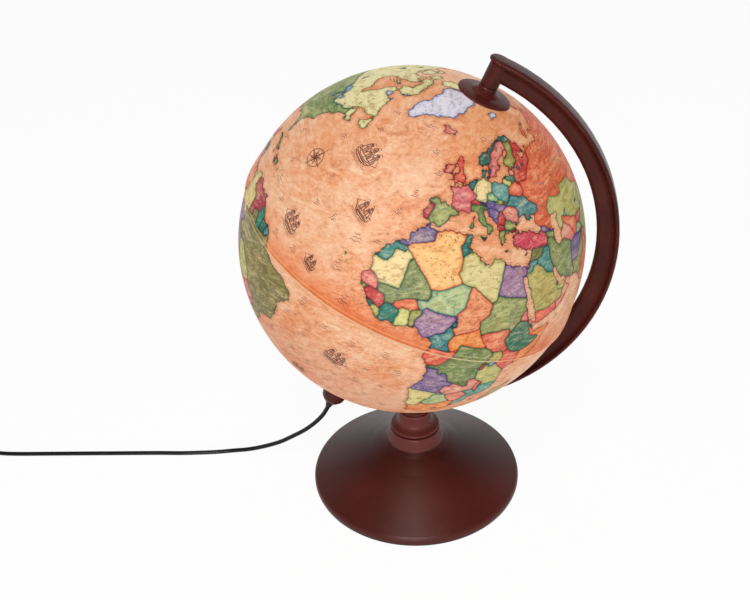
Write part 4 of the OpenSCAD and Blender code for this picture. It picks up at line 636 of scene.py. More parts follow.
LANDS = """
lA -180,-90 -180,-60 180,-60 180,-90
g1 -26,18 -22,18 -22,14 -26,14
g1 -19,29.5 -13,29.5 -13,27.5 -19,27.5
k1 -93,1.5 -89,1.5 -89,-2 -93,-2
g2 -158,22.5 -154,22.5 -154,18.5 -158,18.5
b1 68,-48 71,-48 71,-50.5 68,-50.5
k1 -39,-53 -35,-53 -35,-56 -39,-56
k2 163,-16 180,-16 180,-24 163,-24
k1 -79,27 -74,25 -73,22 -77,23.5
o1 27.5,56 28,59.5 30,62 29.5,65 30,68 29,69.5 33,72 60,82 105,82 180,80 180,60 165,50 142,46 135,43 130.6,42.4
 131,44.8 134.5,48 130.5,48.5 127,50 120,53.3 117,49.8 113,50 108,49.4 102,50.5 98,52 92,50.7 87.5,49.2 80,51 76,54
 71,54.2 62,54 61,51.5 55,51 51,51.7 47,50 49,46.5 47.5,45.5 48,42 46.5,41.8 43,43 39,43.5 37,45 38,47 40,48 39.5,49.8
 35.5,50.5 32.5,52.3 31,53 31,55 28,56
o1 -180,70 -168,67 -170,63 -180,64
r1 28,56 28.5,60 30,62 29.5,65 30,68 29,69.8 42,70 44,67 43,63 38,60 36,57
t1 4,57 11.3,58.2 12.5,61.5 12,63.5 14,65 16.5,68 20.5,69 25.5,68.6 29,69.6 32,71.5 15,71 3,62
p1 11.3,58.5 12.5,61.5 12,63.5 14,65 16.5,68 20.5,69 23.7,67.5 24.1,65.8 20,63.6 19.8,59 16.5,55 12.5,54.8
v1 20.5,69 25.5,68.6 29,69.6 30,68 29.5,65 31.5,62.8 28,60.3 21,59 20,62 24,65.8 23.7,67.5
l1 9,82 30,82 30,76 9,76
t2 8,54.9 8,58 13,58 13,54.5 9.5,54.8
p2 22,57.6 28,57.5 28,60 22,59.8
t1 20.5,56.3 28.2,56 28,57.8 20.5,57.9
y1 20.5,54.4 26,54 26.6,55.7 20.5,56.3
s1 14.2,55 19,55 23.5,54.3 24,50.5 22.7,49.1 18.8,49.5 14.9,51
c1 6,51 7,54.2 10,55 14.2,54.8 14.9,51 12.2,50.2 13.8,48.7 12.8,47.6 7.5,47.6 8,49 6.2,49.5
t2 2.5,51.2 4.5,53.8 7,53.8 6,50 5.5,49.5
p3 -6,48.5 1.5,51.2 2.5,51.2 6.2,49.4 8.2,48.9 7.5,47.5 6,46.2 7.5,43.6 4,42.5 3,42.4 -1.8,43.3 -3,46
g1 -10,44.5 -1.8,43.4 3,42.4 5,40 0,36 -7.5,35.8 -7.2,38 -6.8,41.9 -10,42
r2 -10,42 -6.6,41.9 -7,38.2 -7.4,36.5 -10,36.5
r1 6,46.2 7.5,47.7 9.6,47.5 10.4,46.6 8.5,46
g2 7,44 7,45.8 10.4,46.7 13.7,46.5 13.5,45.5 19,41 19,36 12,36 8,38.5 7.5,41 8,43.7
p3 8.5,41.4 9.7,41.4 9.7,43.1 8.3,43.1
b1 9.6,47.5 12.8,47.6 13,48.6 17,48.8 16.3,46.8 13.7,46.5 10.4,46.8
s2 12.2,50.3 14.9,51 18.8,49.5 17,48.7 14,48.6
y2 17,48 18.8,49.5 22.5,49.1 22,48.4
b2 16.3,46.8 17,48 22,48.4 22.8,48 20.5,46.2 16.3,46.2
p1 20.3,46.1 22.8,48 26.7,48.2 28.3,45.5 30,45 28.5,43.7 22.9,43.8 21.5,45
g1 22.5,44.1 28.6,43.8 28.2,42 26.3,41.7 23,41.3 22.5,42.5
r1 19,46 20.3,46.1 22.6,44.5 22.5,42.4 20.5,42 19.2,43.3
b1 13.5,45.5 16.3,46.5 19,46 19.2,43 18.4,42.4 15,43.5
r2 19,42.5 22.5,42.3 22.9,41.3 21,40.8 20,39.6 19,41
v1 20,39.6 21,40.9 26.3,41.6 26.5,40.5 25.9,38 28.5,36 27,34.7 22,34.7 19.5,39
t3 22.2,48.2 24,50.5 24,51.7 31,52.2 34,51.2 37,50 40,49.5 39.8,47.8 38,46.8 37,45 33,44 30,45.3 28.3,45.5 30,46.5
 29.5,48 26.7,48.2
k1 23.6,52 24,54 26.7,55.7 31,55.5 32.7,53.3 31,51.6 24,51.6
k2 -8.5,49 -5.4,54 -6,55.4 -9,59 3,60 3,51.3 0,50
p4 -11,51 -5.7,51.5 -5.4,54.2 -6,55.8 -11,55.5
r3 25.5,40.5 26.3,41.8 28,42.2 41.6,41.6 43.5,41 44.8,39.5 44.5,37.3 42.3,37.3 36.5,36.7 36,35.9 27,35.8
b2 41.3,41.5 40,43.4 44,42.9 46.8,41.9 48,41.7
g1 43.5,41.1 45,41.3 50.6,40.3 49,38.5 46,39 44.8,39.6
v2 35.5,35.9 42.3,37.3 41,34.5 38.8,33.4 35.7,32.8
p2 34,31.2 35.1,33.3 35.6,32.8 35,29.4
s1 35.6,32.7 39,33.4 39.2,32 37,31.2 37.5,30 36,29.2 35,29.4
t3 39,33.4 41.2,34.5 42.3,37.2 44.8,37.2 46,35.5 45.5,34 48,31 48.5,29.8 47.7,30 46.5,29.1 44.7,29.2 42,31.1 39.2,32
g2 44.5,39.7 48,39.5 49,38.3 54,37.3 56,38 61.1,36.6 60.5,34 61,31.3 63,27.2 61.5,24.8 56,26.5 50,27 48,30.2 47.8,31
 45.5,34 46,35.5 44.8,37.2
c2 34.9,29.4 36,29.2 37.5,30 37,31.2 39.2,32 42,31.1 44.7,29.2 46.5,29.1 48.4,28.5 50.5,26 51.5,24.5 55,22.7 55.2,20
 52,19 47,17.5 43,17.3 42.7,16 38,20
k1 42,16.3 43.3,17.4 47,17.4 52,19 53.2,16.6 52,14 43,12
p2 52,19 55.2,20 55.2,22.8 56,24.7 56.5,26.5 60.5,23 57,17 53.2,16.6
y1 51.5,24.3 54,24.8 56.2,26.6 56.3,24.7 55.4,22.7 52,23
b1 61,31.3 60.5,34 61.2,35.6 64.8,37.2 68,37 71.4,38 74.5,37.2 71,34.5 69.4,32.5 66.3,30 61,29.5
v1 61.5,24.6 63,27.2 61,29.5 66.3,29.9 69.4,32.3 71,34.5 74.5,37 77,35.5 74.5,33 75,31.8 72.5,28.5 70,27.5 71,24.3
 68,23.2
p1 53,37.2 56,38.1 61.1,36.5 64.8,37.2 66.5,37.3 62,41 58,42.6 54,42 52.5,41.5
k1 56,45 58,42.6 62,41 66.5,37.2 68.2,38.5 71,40.8 73,40.5 69,42 65,43.5 61,44.3 58.5,45.5
s2 67.5,37 68.2,38.9 70.5,40.8 73.7,39.5 75,37.4 71.5,36.6
p3 69.5,40 71,42.5 80,42.4 76,40.4 73.6,39.4
y2 46.5,48.5 50,51.7 55,51 61,51.5 62,54 71,54.2 76.5,54 80,51 87.3,49.1 85,47 80.3,45.2 80.2,42.3 71,42.5 66,43
 61,44.3 56,45 56,41.5 52.5,41.5 50,44 47,46.5
k2 87.7,49.2 92,50.7 98,52 102,50.5 108,49.4 113,50 117,49.8 120,47 112,44.8 105,41.6 97,42.7 91,45.2
g1 73.5,39.5 80.2,42.3 80.3,45.2 85,47 87.5,49.1 91,45.2 97,42.7 105,41.6 112,44.8 120,47 117,49.8 120,53.3 127,50
 130.5,48.5 134.5,48.4 131,44.8 130.6,42.4 124,40 124,38 123,30 120,22 111,17.5 108,21.5 105,23 101.7,21.2 97.5,24
 98.6,28 92,27 88,27.9 81,30.2 78.5,32.5 78,35.5
p4 68,23.3 71,24.3 70,27.5 72.5,28.5 75,31.8 74.5,33 74,37 78,35.5 79,32.5 81,30.2 88,26.4 92,27 97.2,28 94,23.5
 92.3,21 89,21 88,24.5 86,16 82,11.5 79.5,9.6 79.3,7 72,7 70,20
g2 80,30 81,30.4 88,27.9 88,26.4 80.2,28.8
t1 88.2,26 89,21 92.5,21 92.3,24.8 89.8,26
v1 92.3,21 94,23.5 97.2,28.4 98.6,27.6 97.6,24 101,21.5 98,18 98.6,9.8 94,15
y1 97.5,18.5 100,20.3 101,17.8 105,16 105.5,14.4 102.6,12 101,12 101.5,6 98,6.5 98.8,13
k1 100.1,20.3 102,22.3 105,19 107.5,15.5 106,14 105,16 101.1,17.8
c2 102.4,14.3 107.5,14.4 106,11 103,10.5
r1 102.2,22.4 105,23.2 108.3,21.5 110,15 109,10 104,8.5 106,11 107.5,14.5 104.3,18.5
o2 99,6.4 102,6.4 105,1.3 101,1.5
g1 94,6.5 98,5.5 104.5,1 109,2.2 110,0.8 115,1 118,4 126,3 130,2.5 131,0 141,-2 141,-10 120,-11.5 105,-9 94,1
o2 109.3,2.2 110,0.9 115,1.1 117.9,4.2 119.7,5.2 117,7.7
p3 116.5,8 119.5,6.5 124,5 127,5 127,19.5 119,19.5
y2 141,-1 141,-10 157,-12 157,-1
r2 124,40 130.6,42.6 128.5,38.5 125,37.8
y1 125.3,37.8 128.5,38.6 130.5,35 125.5,33.5
k2 129,30.5 129,34 132,36 139.3,41 140,46 146.5,44.5 142,34 131,30
v2 119.5,21.5 122.5,21.5 122.5,26 120,26
o1 79,5.8 80,10 82.5,9 82.5,5.8
y1 110,-37 129,-37 129,-12 110,-12
k2 129,-26 138,-26 138,-9 129,-9
p2 129,-40 141,-40 141,-26 129,-26
c2 138,-9 155,-9 155,-28.5 141,-29 141,-26 138,-26
g1 141,-29 149,-29 154.5,-28 154.5,-36.5 149.5,-37.3 146,-36 141,-34
b1 141,-34 146,-36 149.5,-37.3 151,-39.5 141,-39.5
v1 143,-40 149.5,-40 149.5,-44.5 143,-44.5
k1 165,-33.5 180,-33.5 180,-48 165,-48
y3 -141,70.5 -141,60 -137,59 -133,56 -130,55 -133,50 -125,48 -95,49 -89,48 -84,46.5 -82.5,43 -79,43 -75,45 -71,45.3
 -69,47.4 -67.5,45.5 -60,42 -50,46 -60,62 -70,75 -60,84 -95,84 -130,76
g2 -125,49 -95,49 -89,48 -84,46.5 -82.5,42.5 -79,43 -75,45 -71,45.3 -69,47.4 -67,44.5 -65,42 -78,23.7 -88,28
 -97.2,25.8 -101,29.5 -104.5,29.5 -106.5,31.8 -111,31.3 -117.2,32.5 -126,40
o1 -171,72 -141,72 -141,60 -130,55.2 -171,50
r3 -117.2,32.5 -111,31.3 -106.5,31.8 -104.5,29.5 -101,29.5 -97.2,25.8 -95,20 -86,22.5 -86.5,18.2 -89,17.8 -91,17.2
 -92.2,14.5 -106,15 -118,28
y1 -92.5,14.3 -91,17.3 -89,17.8 -87.5,16 -90,13.3
t1 -89.4,14.4 -88,16.3 -83,16 -83,14.9 -87.5,13
b2 -87.8,12.8 -83,15 -83,11 -86,10.8
p2 -86,10.9 -83.5,10.9 -82.5,8
k1 -83,9.7 -77.2,9.7 -77.2,7 -83,7.5
v2 -85.5,23.5 -73.8,21 -73.8,19.8 -85.5,21
r1 -75,20.2 -71.7,20.2 -71.7,17.5 -75,17.5
g1 -71.7,20.2 -65,20 -65,17 -71.7,17.5
y1 -79,9 -77.2,8.8 -71.5,13 -72.5,9 -67.5,6.2 -67,1.2 -70,0.6 -70,-4.2 -75,-0.1 -79,1.5
r2 -72,12.7 -60,12 -59.8,8.3 -61,5.2 -64.7,4.2 -63.4,2.2 -67,1.2 -67.5,6.2 -72.5,7.5
t2 -60,8.8 -57.3,7 -57,2 -59,1.4 -60.7,5
t1 -57.3,7 -54,6.5 -54.2,2.3 -57,1.9
t3 -54,6.5 -51,6 -51.5,4 -52.5,2.4 -54.2,2.3
k1 -81.5,1.6 -78,1.2 -75.2,0 -78.5,-4.8 -81.5,-3.5
b2 -82,-3.3 -78.6,-4.8 -75.2,0 -70,-4.2 -73.5,-7.5 -70.5,-9.6 -69,-12.5 -69.5,-17.5 -70.4,-18.4 -78,-16 -83,-5
y2 -69.5,-10.9 -65.3,-9.9 -60.2,-13.7 -58,-16.5 -58,-20 -62.6,-22.2 -67,-22.8 -69.5,-17.5
v2 -74,-7.4 -70,-4.2 -70,0.6 -67,1.2 -63.4,2.2 -64.7,4.2 -61,5.2 -59.9,1.8 -59,1.4 -54.5,2.3 -52.3,2.4 -51,5 -34,0
 -34,-12 -47,-27 -53.4,-33.8 -57.6,-30.2 -54,-27 -54.6,-24 -58,-22 -58,-16.5 -60.2,-13.7 -65.3,-9.9 -69.5,-10.9
 -73.5,-9.4
p1 -62.6,-22.2 -58.2,-20 -58,-22 -54.5,-24.2 -55.8,-27.3 -58.6,-27.2
o2 -58.4,-33.9 -57.6,-30.2 -53.4,-33.6 -55,-35.4
p3 -67,-22.8 -62.6,-22.2 -58.5,-27.2 -54,-25.6 -54,-27.3 -57.6,-30.2 -58.4,-34 -56.5,-37 -60,-43 -57,-52 -65,-56
 -68.6,-55 -68.6,-52.3 -72,-51 -71.5,-44 -71,-38 -70,-33 -68.5,-25
g1 -70.6,-18.3 -69.5,-17.5 -67.5,-22.8 -68.5,-25 -70,-33 -71,-38 -71.5,-44 -72,-51 -68.6,-52.3 -68.6,-56.5 -76,-54
 -77,-40
l1 -75,59 -50,59 -30,59 -8,72 -8,84.5 -62,84.5 -74,77.5 -60,75.5 -58,68
p1 -26,61 -12,61 -12,67.8 -26,67.8
b1 -6,36.3 -2.2,35.5 -1.7,32.2 -4,31 -8.7,28.7 -8.7,27.7 -14,27.7 -11,33
t3 -8.7,27.7 -14.5,27.7 -18,21 -13,21.3 -12,23.4 -12,26 -8.7,26
o2 -2.2,35.2 1,37.7 8.6,37.5 8.2,35 7.6,33.2 9.5,30.3 10,27 9.4,26.3 12,23.5 5.8,19.2 3.2,19 1.2,21 -4.8,25 -8.7,27.3
 -8.7,28.7 -4,31 -1.7,32.2
t2 8.6,37.7 12,37.5 11.5,33.2 9.5,30.3 7.6,33.2 8.2,35
y1 11.5,33.4 25,33.5 25,20 24,19.5 16,23.4 12,23.5 9.4,26.3 10,27 9.5,30.3
b2 25,32.5 34.3,31.6 35,29.5 34.5,27 36.5,22 25,22
g1 25,22 37.5,22 38.5,18 36.5,14.5 34.3,10.6 33,12 29,9.7 24,9 22.8,11 22,13 24,15.7 24,20 25,20
k1 24,8.7 26,10 33,12 34,9.5 33,8 36,4.5 31,3.7 28,4.3
p1 36.5,14.3 37,17 38.6,18.4 43.2,12.5 42.4,12.5 39.5,14.5
t1 33,8 34.3,10.6 36.4,14.4 39.5,14.4 42.4,12.4 41.8,11 43,9.2 48,8 45,5 42,4.1 39,3.5 36,4.4
k1 41.8,11 42.4,12.6 43.6,12.5 43.3,11.3
o3 43.3,11.6 52,12.7 51.5,9 46,2 41.6,-2.2 41,0 41,3 42,4.1 45,5 48,8 43,9.2
k2 34,4.2 36,4.5 39,3.5 41,3.9 41,0 41.6,-1.9 39.5,-4.8 34,-1
c2 29.6,-1.4 30.9,3.5 34,4.2 35,2 34,-1
y2 30.5,-1.1 34,-1 39.3,-4.7 41,-10.5 35,-11.6 33,-9.5 30.8,-8.3 29.4,-4.5
r1 29,-1.5 30.8,-1.2 30.6,-4 29.3,-4.5
g2 11.5,-5.9 12.3,-6 16.5,-5.9 17,-8 19.5,-7 22,-10.8 24,-11 28.5,-12.5 29.8,-12.2 28.4,-9.2 30.7,-8.3 29.3,-4.4
 29.6,-1.4 31,2.4 30,4.2 27.5,5 23,4.7 19,5 18,3.5 17,-1 15,-4.4 12.8,-4.7
k2 8.5,1 9.8,1 11.3,2.2 16,1.8 18.6,3.5 17.7,-0.5 16,-3.3 15,-4.6 12,-5 8.5,-2
b1 11.5,-6 12.3,-6 16.5,-5.9 17,-8 19.5,-7 22,-10.8 24,-11 24,-13 22,-13 22,-16.2 23.4,-17.6 18.5,-17.4 11,-17.3
p2 22,-13 24,-13 24,-11 28.5,-12.5 29.8,-12.2 28.4,-9.2 30.7,-8.3 33,-9.5 33.2,-14 30.2,-15 28,-17 25.3,-17.8 22,-16.3
k1 33,-9.5 34.6,-9.8 35.8,-16 34.3,-15 32.8,-13.7
s1 34.6,-11.6 41.5,-10.4 41.5,-16 36,-21 36.5,-25 32.8,-26.8 32,-26 31.3,-22.4 33,-19.5 32.8,-17 30.3,-15.2 33.2,-14
 34.5,-15 35.6,-16.2 35,-14
p4 25.3,-17.8 28,-16.5 30.3,-15.6 33,-17 32.8,-20 31.3,-22.4 29.3,-22.2 26.5,-20
s2 21,-18.3 25.3,-17.8 26.5,-20 29.3,-22.2 27,-23.7 25,-25.7 22,-26.5 20,-25 20,-22 21,-22
y1 11,-17.2 18.5,-17.4 25.2,-17.8 21,-18.3 21,-22 20,-22 20,-28.4 16.5,-28.7 13,-24
o3 16,-28.7 20,-28.4 20,-25 22,-26.5 25,-25.7 27,-23.7 29.3,-22.2 31.3,-22.4 32,-26 33,-27 30,-34 20,-36 16,-32
g1 27,-29.6 28.6,-28.6 29.4,-29.5 28,-30.6
v1 43,-11.5 51,-11.5 51,-26 43,-26
c1 -18,16.1 -18,21.3 -13,21.3 -12,23.4 -12,26 -8.7,26 -8.7,27.3 -4.8,25 -6.5,24.9 -5.5,15.5 -9.5,15.4 -12,14.8
 -16.5,16.2
g2 -5.5,15.5 -6.5,24.9 -4.8,25 1.2,21 3.2,19 4.2,17 3.5,15.4 0,15 -2,14.2 -5,11.8 -5.6,10.5 -8,10.2 -9,12.4 -11.4,12.2
 -12,14.8 -9.5,15.4
s2 4.2,17 3.2,19 5.8,19.4 12,23.5 15,23 15.5,17 13.5,13.6 7,13 4,13.5 2.2,12 0.2,14.9 3.5,15.4
k3 15,23 16,23.4 24,19.5 24,15.7 22,13 22.8,11 19,9 15.5,7.5 14,10 15,12.5 13.5,13.6 15.5,17
b2 2.7,6 2.7,9 3.8,11.7 4,13.5 7,13 13.5,13.6 14.5,12.5 12,7.5 9.8,6.3 8.6,4 4,3.5
t3 8.5,4.8 9.8,6.5 12,7.5 14.5,12.9 15.2,10 14,10 15.5,7.5 14.6,5 16.2,1.8 9.2,2.2
o3 14.6,5 15.5,7.5 19,9 22.8,11 24,8.7 27.5,5.1 23,4.7 19,5 18.5,3.5 16,2.2
p1 -18,12.4 -18,16.2 -14.5,16.7 -12,14.8 -11.4,12.4
y1 -17.5,12.4 -13.7,12.6 -15,10.6
r1 -15.4,10.6 -13.7,12.6 -11.4,12.4 -9,12.4 -8,10.2 -8.3,7.6 -10.3,8.5 -13.5,9.3
t1 -13.8,9.2 -10.4,8.5 -11.5,6.5
y2 -11.6,6.7 -10.3,8.5 -8.3,7.6 -7.4,4
t2 -8.3,7.6 -8,10.2 -5.6,10.5 -2.8,9.7 -3.1,4.7 -7.5,3.8
y1 -2.8,11 0,11.1 1.2,6 1.2,5.4 -3.1,4.3 -2.8,9.7
v1 0,11.1 2.3,12.3 3.7,11.7 2.7,9 2.7,5.9 1.2,5.6
k1 -5.5,10.5 -5,11.8 -2,14.2 0.2,14.9 2.3,12.3 0,11.1 -2.8,11 -2.8,9.7
"""
# Printed tints as screen colours: each country's face, and the line of stronger colour along its borders
TINTS = {
    "g1": (0.61, 0.63, 0.39), "g2": (0.48, 0.55, 0.34), "y1": (0.86, 0.81, 0.54), "y2": (0.74, 0.73, 0.42),
    "y3": (0.92, 0.88, 0.66), "o1": (0.87, 0.43, 0.26), "o2": (0.98, 0.76, 0.48), "o3": (0.92, 0.57, 0.30),
    "p1": (0.87, 0.53, 0.48), "p2": (0.90, 0.61, 0.53), "p3": (0.84, 0.42, 0.46), "p4": (0.89, 0.50, 0.42),
    "r1": (0.80, 0.29, 0.27), "r2": (0.70, 0.20, 0.27), "r3": (0.85, 0.32, 0.40), "t1": (0.20, 0.44, 0.37),
    "t2": (0.15, 0.49, 0.43), "t3": (0.28, 0.54, 0.53), "b1": (0.49, 0.42, 0.60), "b2": (0.63, 0.49, 0.63),
    "l1": (0.88, 0.86, 0.93), "lA": (0.88, 0.80, 0.70), "c1": (0.94, 0.84, 0.60), "c2": (0.74, 0.66, 0.36),
    "v1": (0.62, 0.60, 0.33), "v2": (0.50, 0.48, 0.27), "k1": (0.91, 0.45, 0.34), "k2": (0.88, 0.38, 0.32),
    "k3": (0.92, 0.55, 0.39), "s1": (0.42, 0.64, 0.60), "s2": (0.68, 0.75, 0.53), "w1": (0.55, 0.70, 0.80),
}
BORDERS = {
    "g": (0.17, 0.36, 0.20), "y": (0.50, 0.58, 0.26), "o": (0.82, 0.32, 0.14), "p": (0.74, 0.22, 0.28),
    "r": (0.55, 0.08, 0.16), "t": (0.02, 0.31, 0.29), "b": (0.27, 0.21, 0.48), "l": (0.36, 0.45, 0.68),
    "c": (0.46, 0.56, 0.30), "v": (0.28, 0.34, 0.14), "k": (0.76, 0.20, 0.14), "s": (0.08, 0.48, 0.42),
    "w": (0.20, 0.42, 0.62),
}
STEPS = 10                                  # cells to a degree in the lookup table
REACH, FILL_ROUNDS = 9, 80                  # cells that a country reaches past the coast, rounds to fill them
NORTH_LIP, SOUTH_LIP = (1.5, 20), (0.8, 11)  # how far the skin stands out at the seam, and over what run


def outlines(text):
    """Lines of a table; one that starts with a blank goes on with the line above it."""
    return text.strip().replace("\n ", " ").splitlines()


def parse(line):
    return np.array([[float(v) for v in pair.split(",")] for pair in line.split()])


def fill(mask_shape, outline):
    """Cells of the table whose centres lie inside an outline, with the rows and columns that it spans."""
    x = (outline[:, 0] + 180) * STEPS
    y = (outline[:, 1] + 90) * STEPS
    x0, x1 = max(0, int(x.min())), min(mask_shape[1], int(x.max()) + 2)
    y0, y1 = max(0, int(y.min())), min(mask_shape[0], int(y.max()) + 2)
    flips = np.zeros((y1 - y0, x1 - x0 + 1), np.int32)
    for i in range(len(x)):
        (ya, xa), (yb, xb) = sorted(((y[i - 1], x[i - 1]), (y[i], x[i])))
        if ya == yb:
            continue
        at_rows = np.arange(max(y0, math.ceil(ya - 0.5)), min(y1, math.ceil(yb - 0.5)))
        if len(at_rows):
            at = xa + (at_rows + 0.5 - ya) * (xb - xa) / (yb - ya)
            cols = np.clip(np.ceil(at - 0.5).astype(int) - x0, 0, x1 - x0)
            np.add.at(flips, (at_rows - y0, cols), 1)
    inside = np.cumsum(flips, axis=1)[:, :-1] % 2 == 1
    return inside, slice(y0, y1), slice(x0, x1)


def region_tables():
    """Where land is, and whose: the countries reach past the coast, so that a ragged coast uncovers no gap."""
    shape = (180 * STEPS, 360 * STEPS)
    land, owner, codes = np.zeros(shape, bool), np.zeros(shape, np.int16), [None]

    def paint(table, line, value):
        inside, ys, xs = fill(shape, parse(line))
        table[ys, xs][inside] = value

    for text, value in ((LAND, True), (WATER, False)):
        for line in outlines(text):
            paint(land, line, value)
    for line in outlines(LANDS):
        code, outline = line.split(" ", 1)
        codes.append(code)
        paint(owner, outline, len(codes) - 1)
    codes.append("w1")
    for line in outlines(LAKES):
        paint(owner, line, len(codes) - 1)
    near = land.copy()
    for _ in range(REACH):
        grown = near | np.roll(near, 1, 1) | np.roll(near, -1, 1)
        grown[1:] |= near[:-1]
        grown[:-1] |= near[1:]
        near = grown
    for _ in range(FILL_ROUNDS):
        ys, xs = np.nonzero(near & (owner == 0))
        if not len(ys):
            break
        value = np.zeros(len(ys), np.int16)
        for dy, dx in ((0, 1), (0, -1), (1, 0), (-1, 0)):
            beside = owner[np.clip(ys + dy, 0, shape[0] - 1), (xs + dx) % shape[1]]
            value = np.where(value == 0, beside, value)
        owner[ys, xs] = value
    owner[near & (owner == 0)] = 1
    return land, owner, codes


def wave_set(*sizes):
    """Random waves for cells(), from pairs of fineness and push."""
    return [(rng.normal(size=(7, 3)) * k, rng.uniform(0, 6.28, 7), rng.normal(size=(7, 3)) * a) for k, a in sizes]


LAND_CELLS, OWNER, CODES = region_tables()
rng = np.random.default_rng(11)
COAST_WAVES = wave_set((90.0, 0.0012), (190.0, 0.0012), (400.0, 0.0009))
BORDER_WAVES = wave_set((60.0, 0.0008), (240.0, 0.0005))


def sphere_point(lon, lat, r=1.0):
    """Points for angles in radians."""
    return np.stack([r * np.cos(lat) * np.cos(lon), r * np.cos(lat) * np.sin(lon), r * np.sin(lat)], -1)


def ball_point(lon, lat, r=1.0):
    """Points of the ball's own frame for degrees of the map."""
    return sphere_point(np.radians(lon) + LON_0, np.radians(lat), r)


def cells(p, waves):
    """Table cells of points on the unit ball, moved a little by waves: that gives a line its ragged run."""
    q = p.copy()
    for k, phase, push in waves:
        q += np.sin(p @ k.T + phase) @ push
    q /= np.linalg.norm(q, axis=-1, keepdims=True)
    x = ((np.degrees(np.arctan2(q[..., 1], q[..., 0])) + 180) * STEPS).astype(int) % (360 * STEPS)
    y = np.clip(((np.degrees(np.arcsin(np.clip(q[..., 2], -1, 1))) + 90) * STEPS).astype(int), 0, 180 * STEPS - 1)
    return y, x


def region(lon, lat):
    """Number of the country at each place, 0 at sea."""
    p = sphere_point(np.radians(lon), np.radians(lat))
    return np.where(LAND_CELLS[cells(p, COAST_WAVES)], np.maximum(OWNER[cells(p, BORDER_WAVES)], 1), 0)


def swell(lat, lip, run):
    """How far the skin stands out near the seam."""
    u = np.minimum(1, BALL_R * np.radians(np.abs(lat)) / run)
    return lip * (1 - u) ** 2 * (1 + 2 * u)


def skin_radius(lat):
    return BALL_R + np.where(lat >= 0, swell(lat, *NORTH_LIP), swell(lat, *SOUTH_LIP))


WALL, SEAM_GAP, WALL_ROWS = 1.6, 0.4, 8     # shell wall, half the open seam, rows of the inside
FAR = 9.0                                   # a distance from borders beyond all that the shader looks at


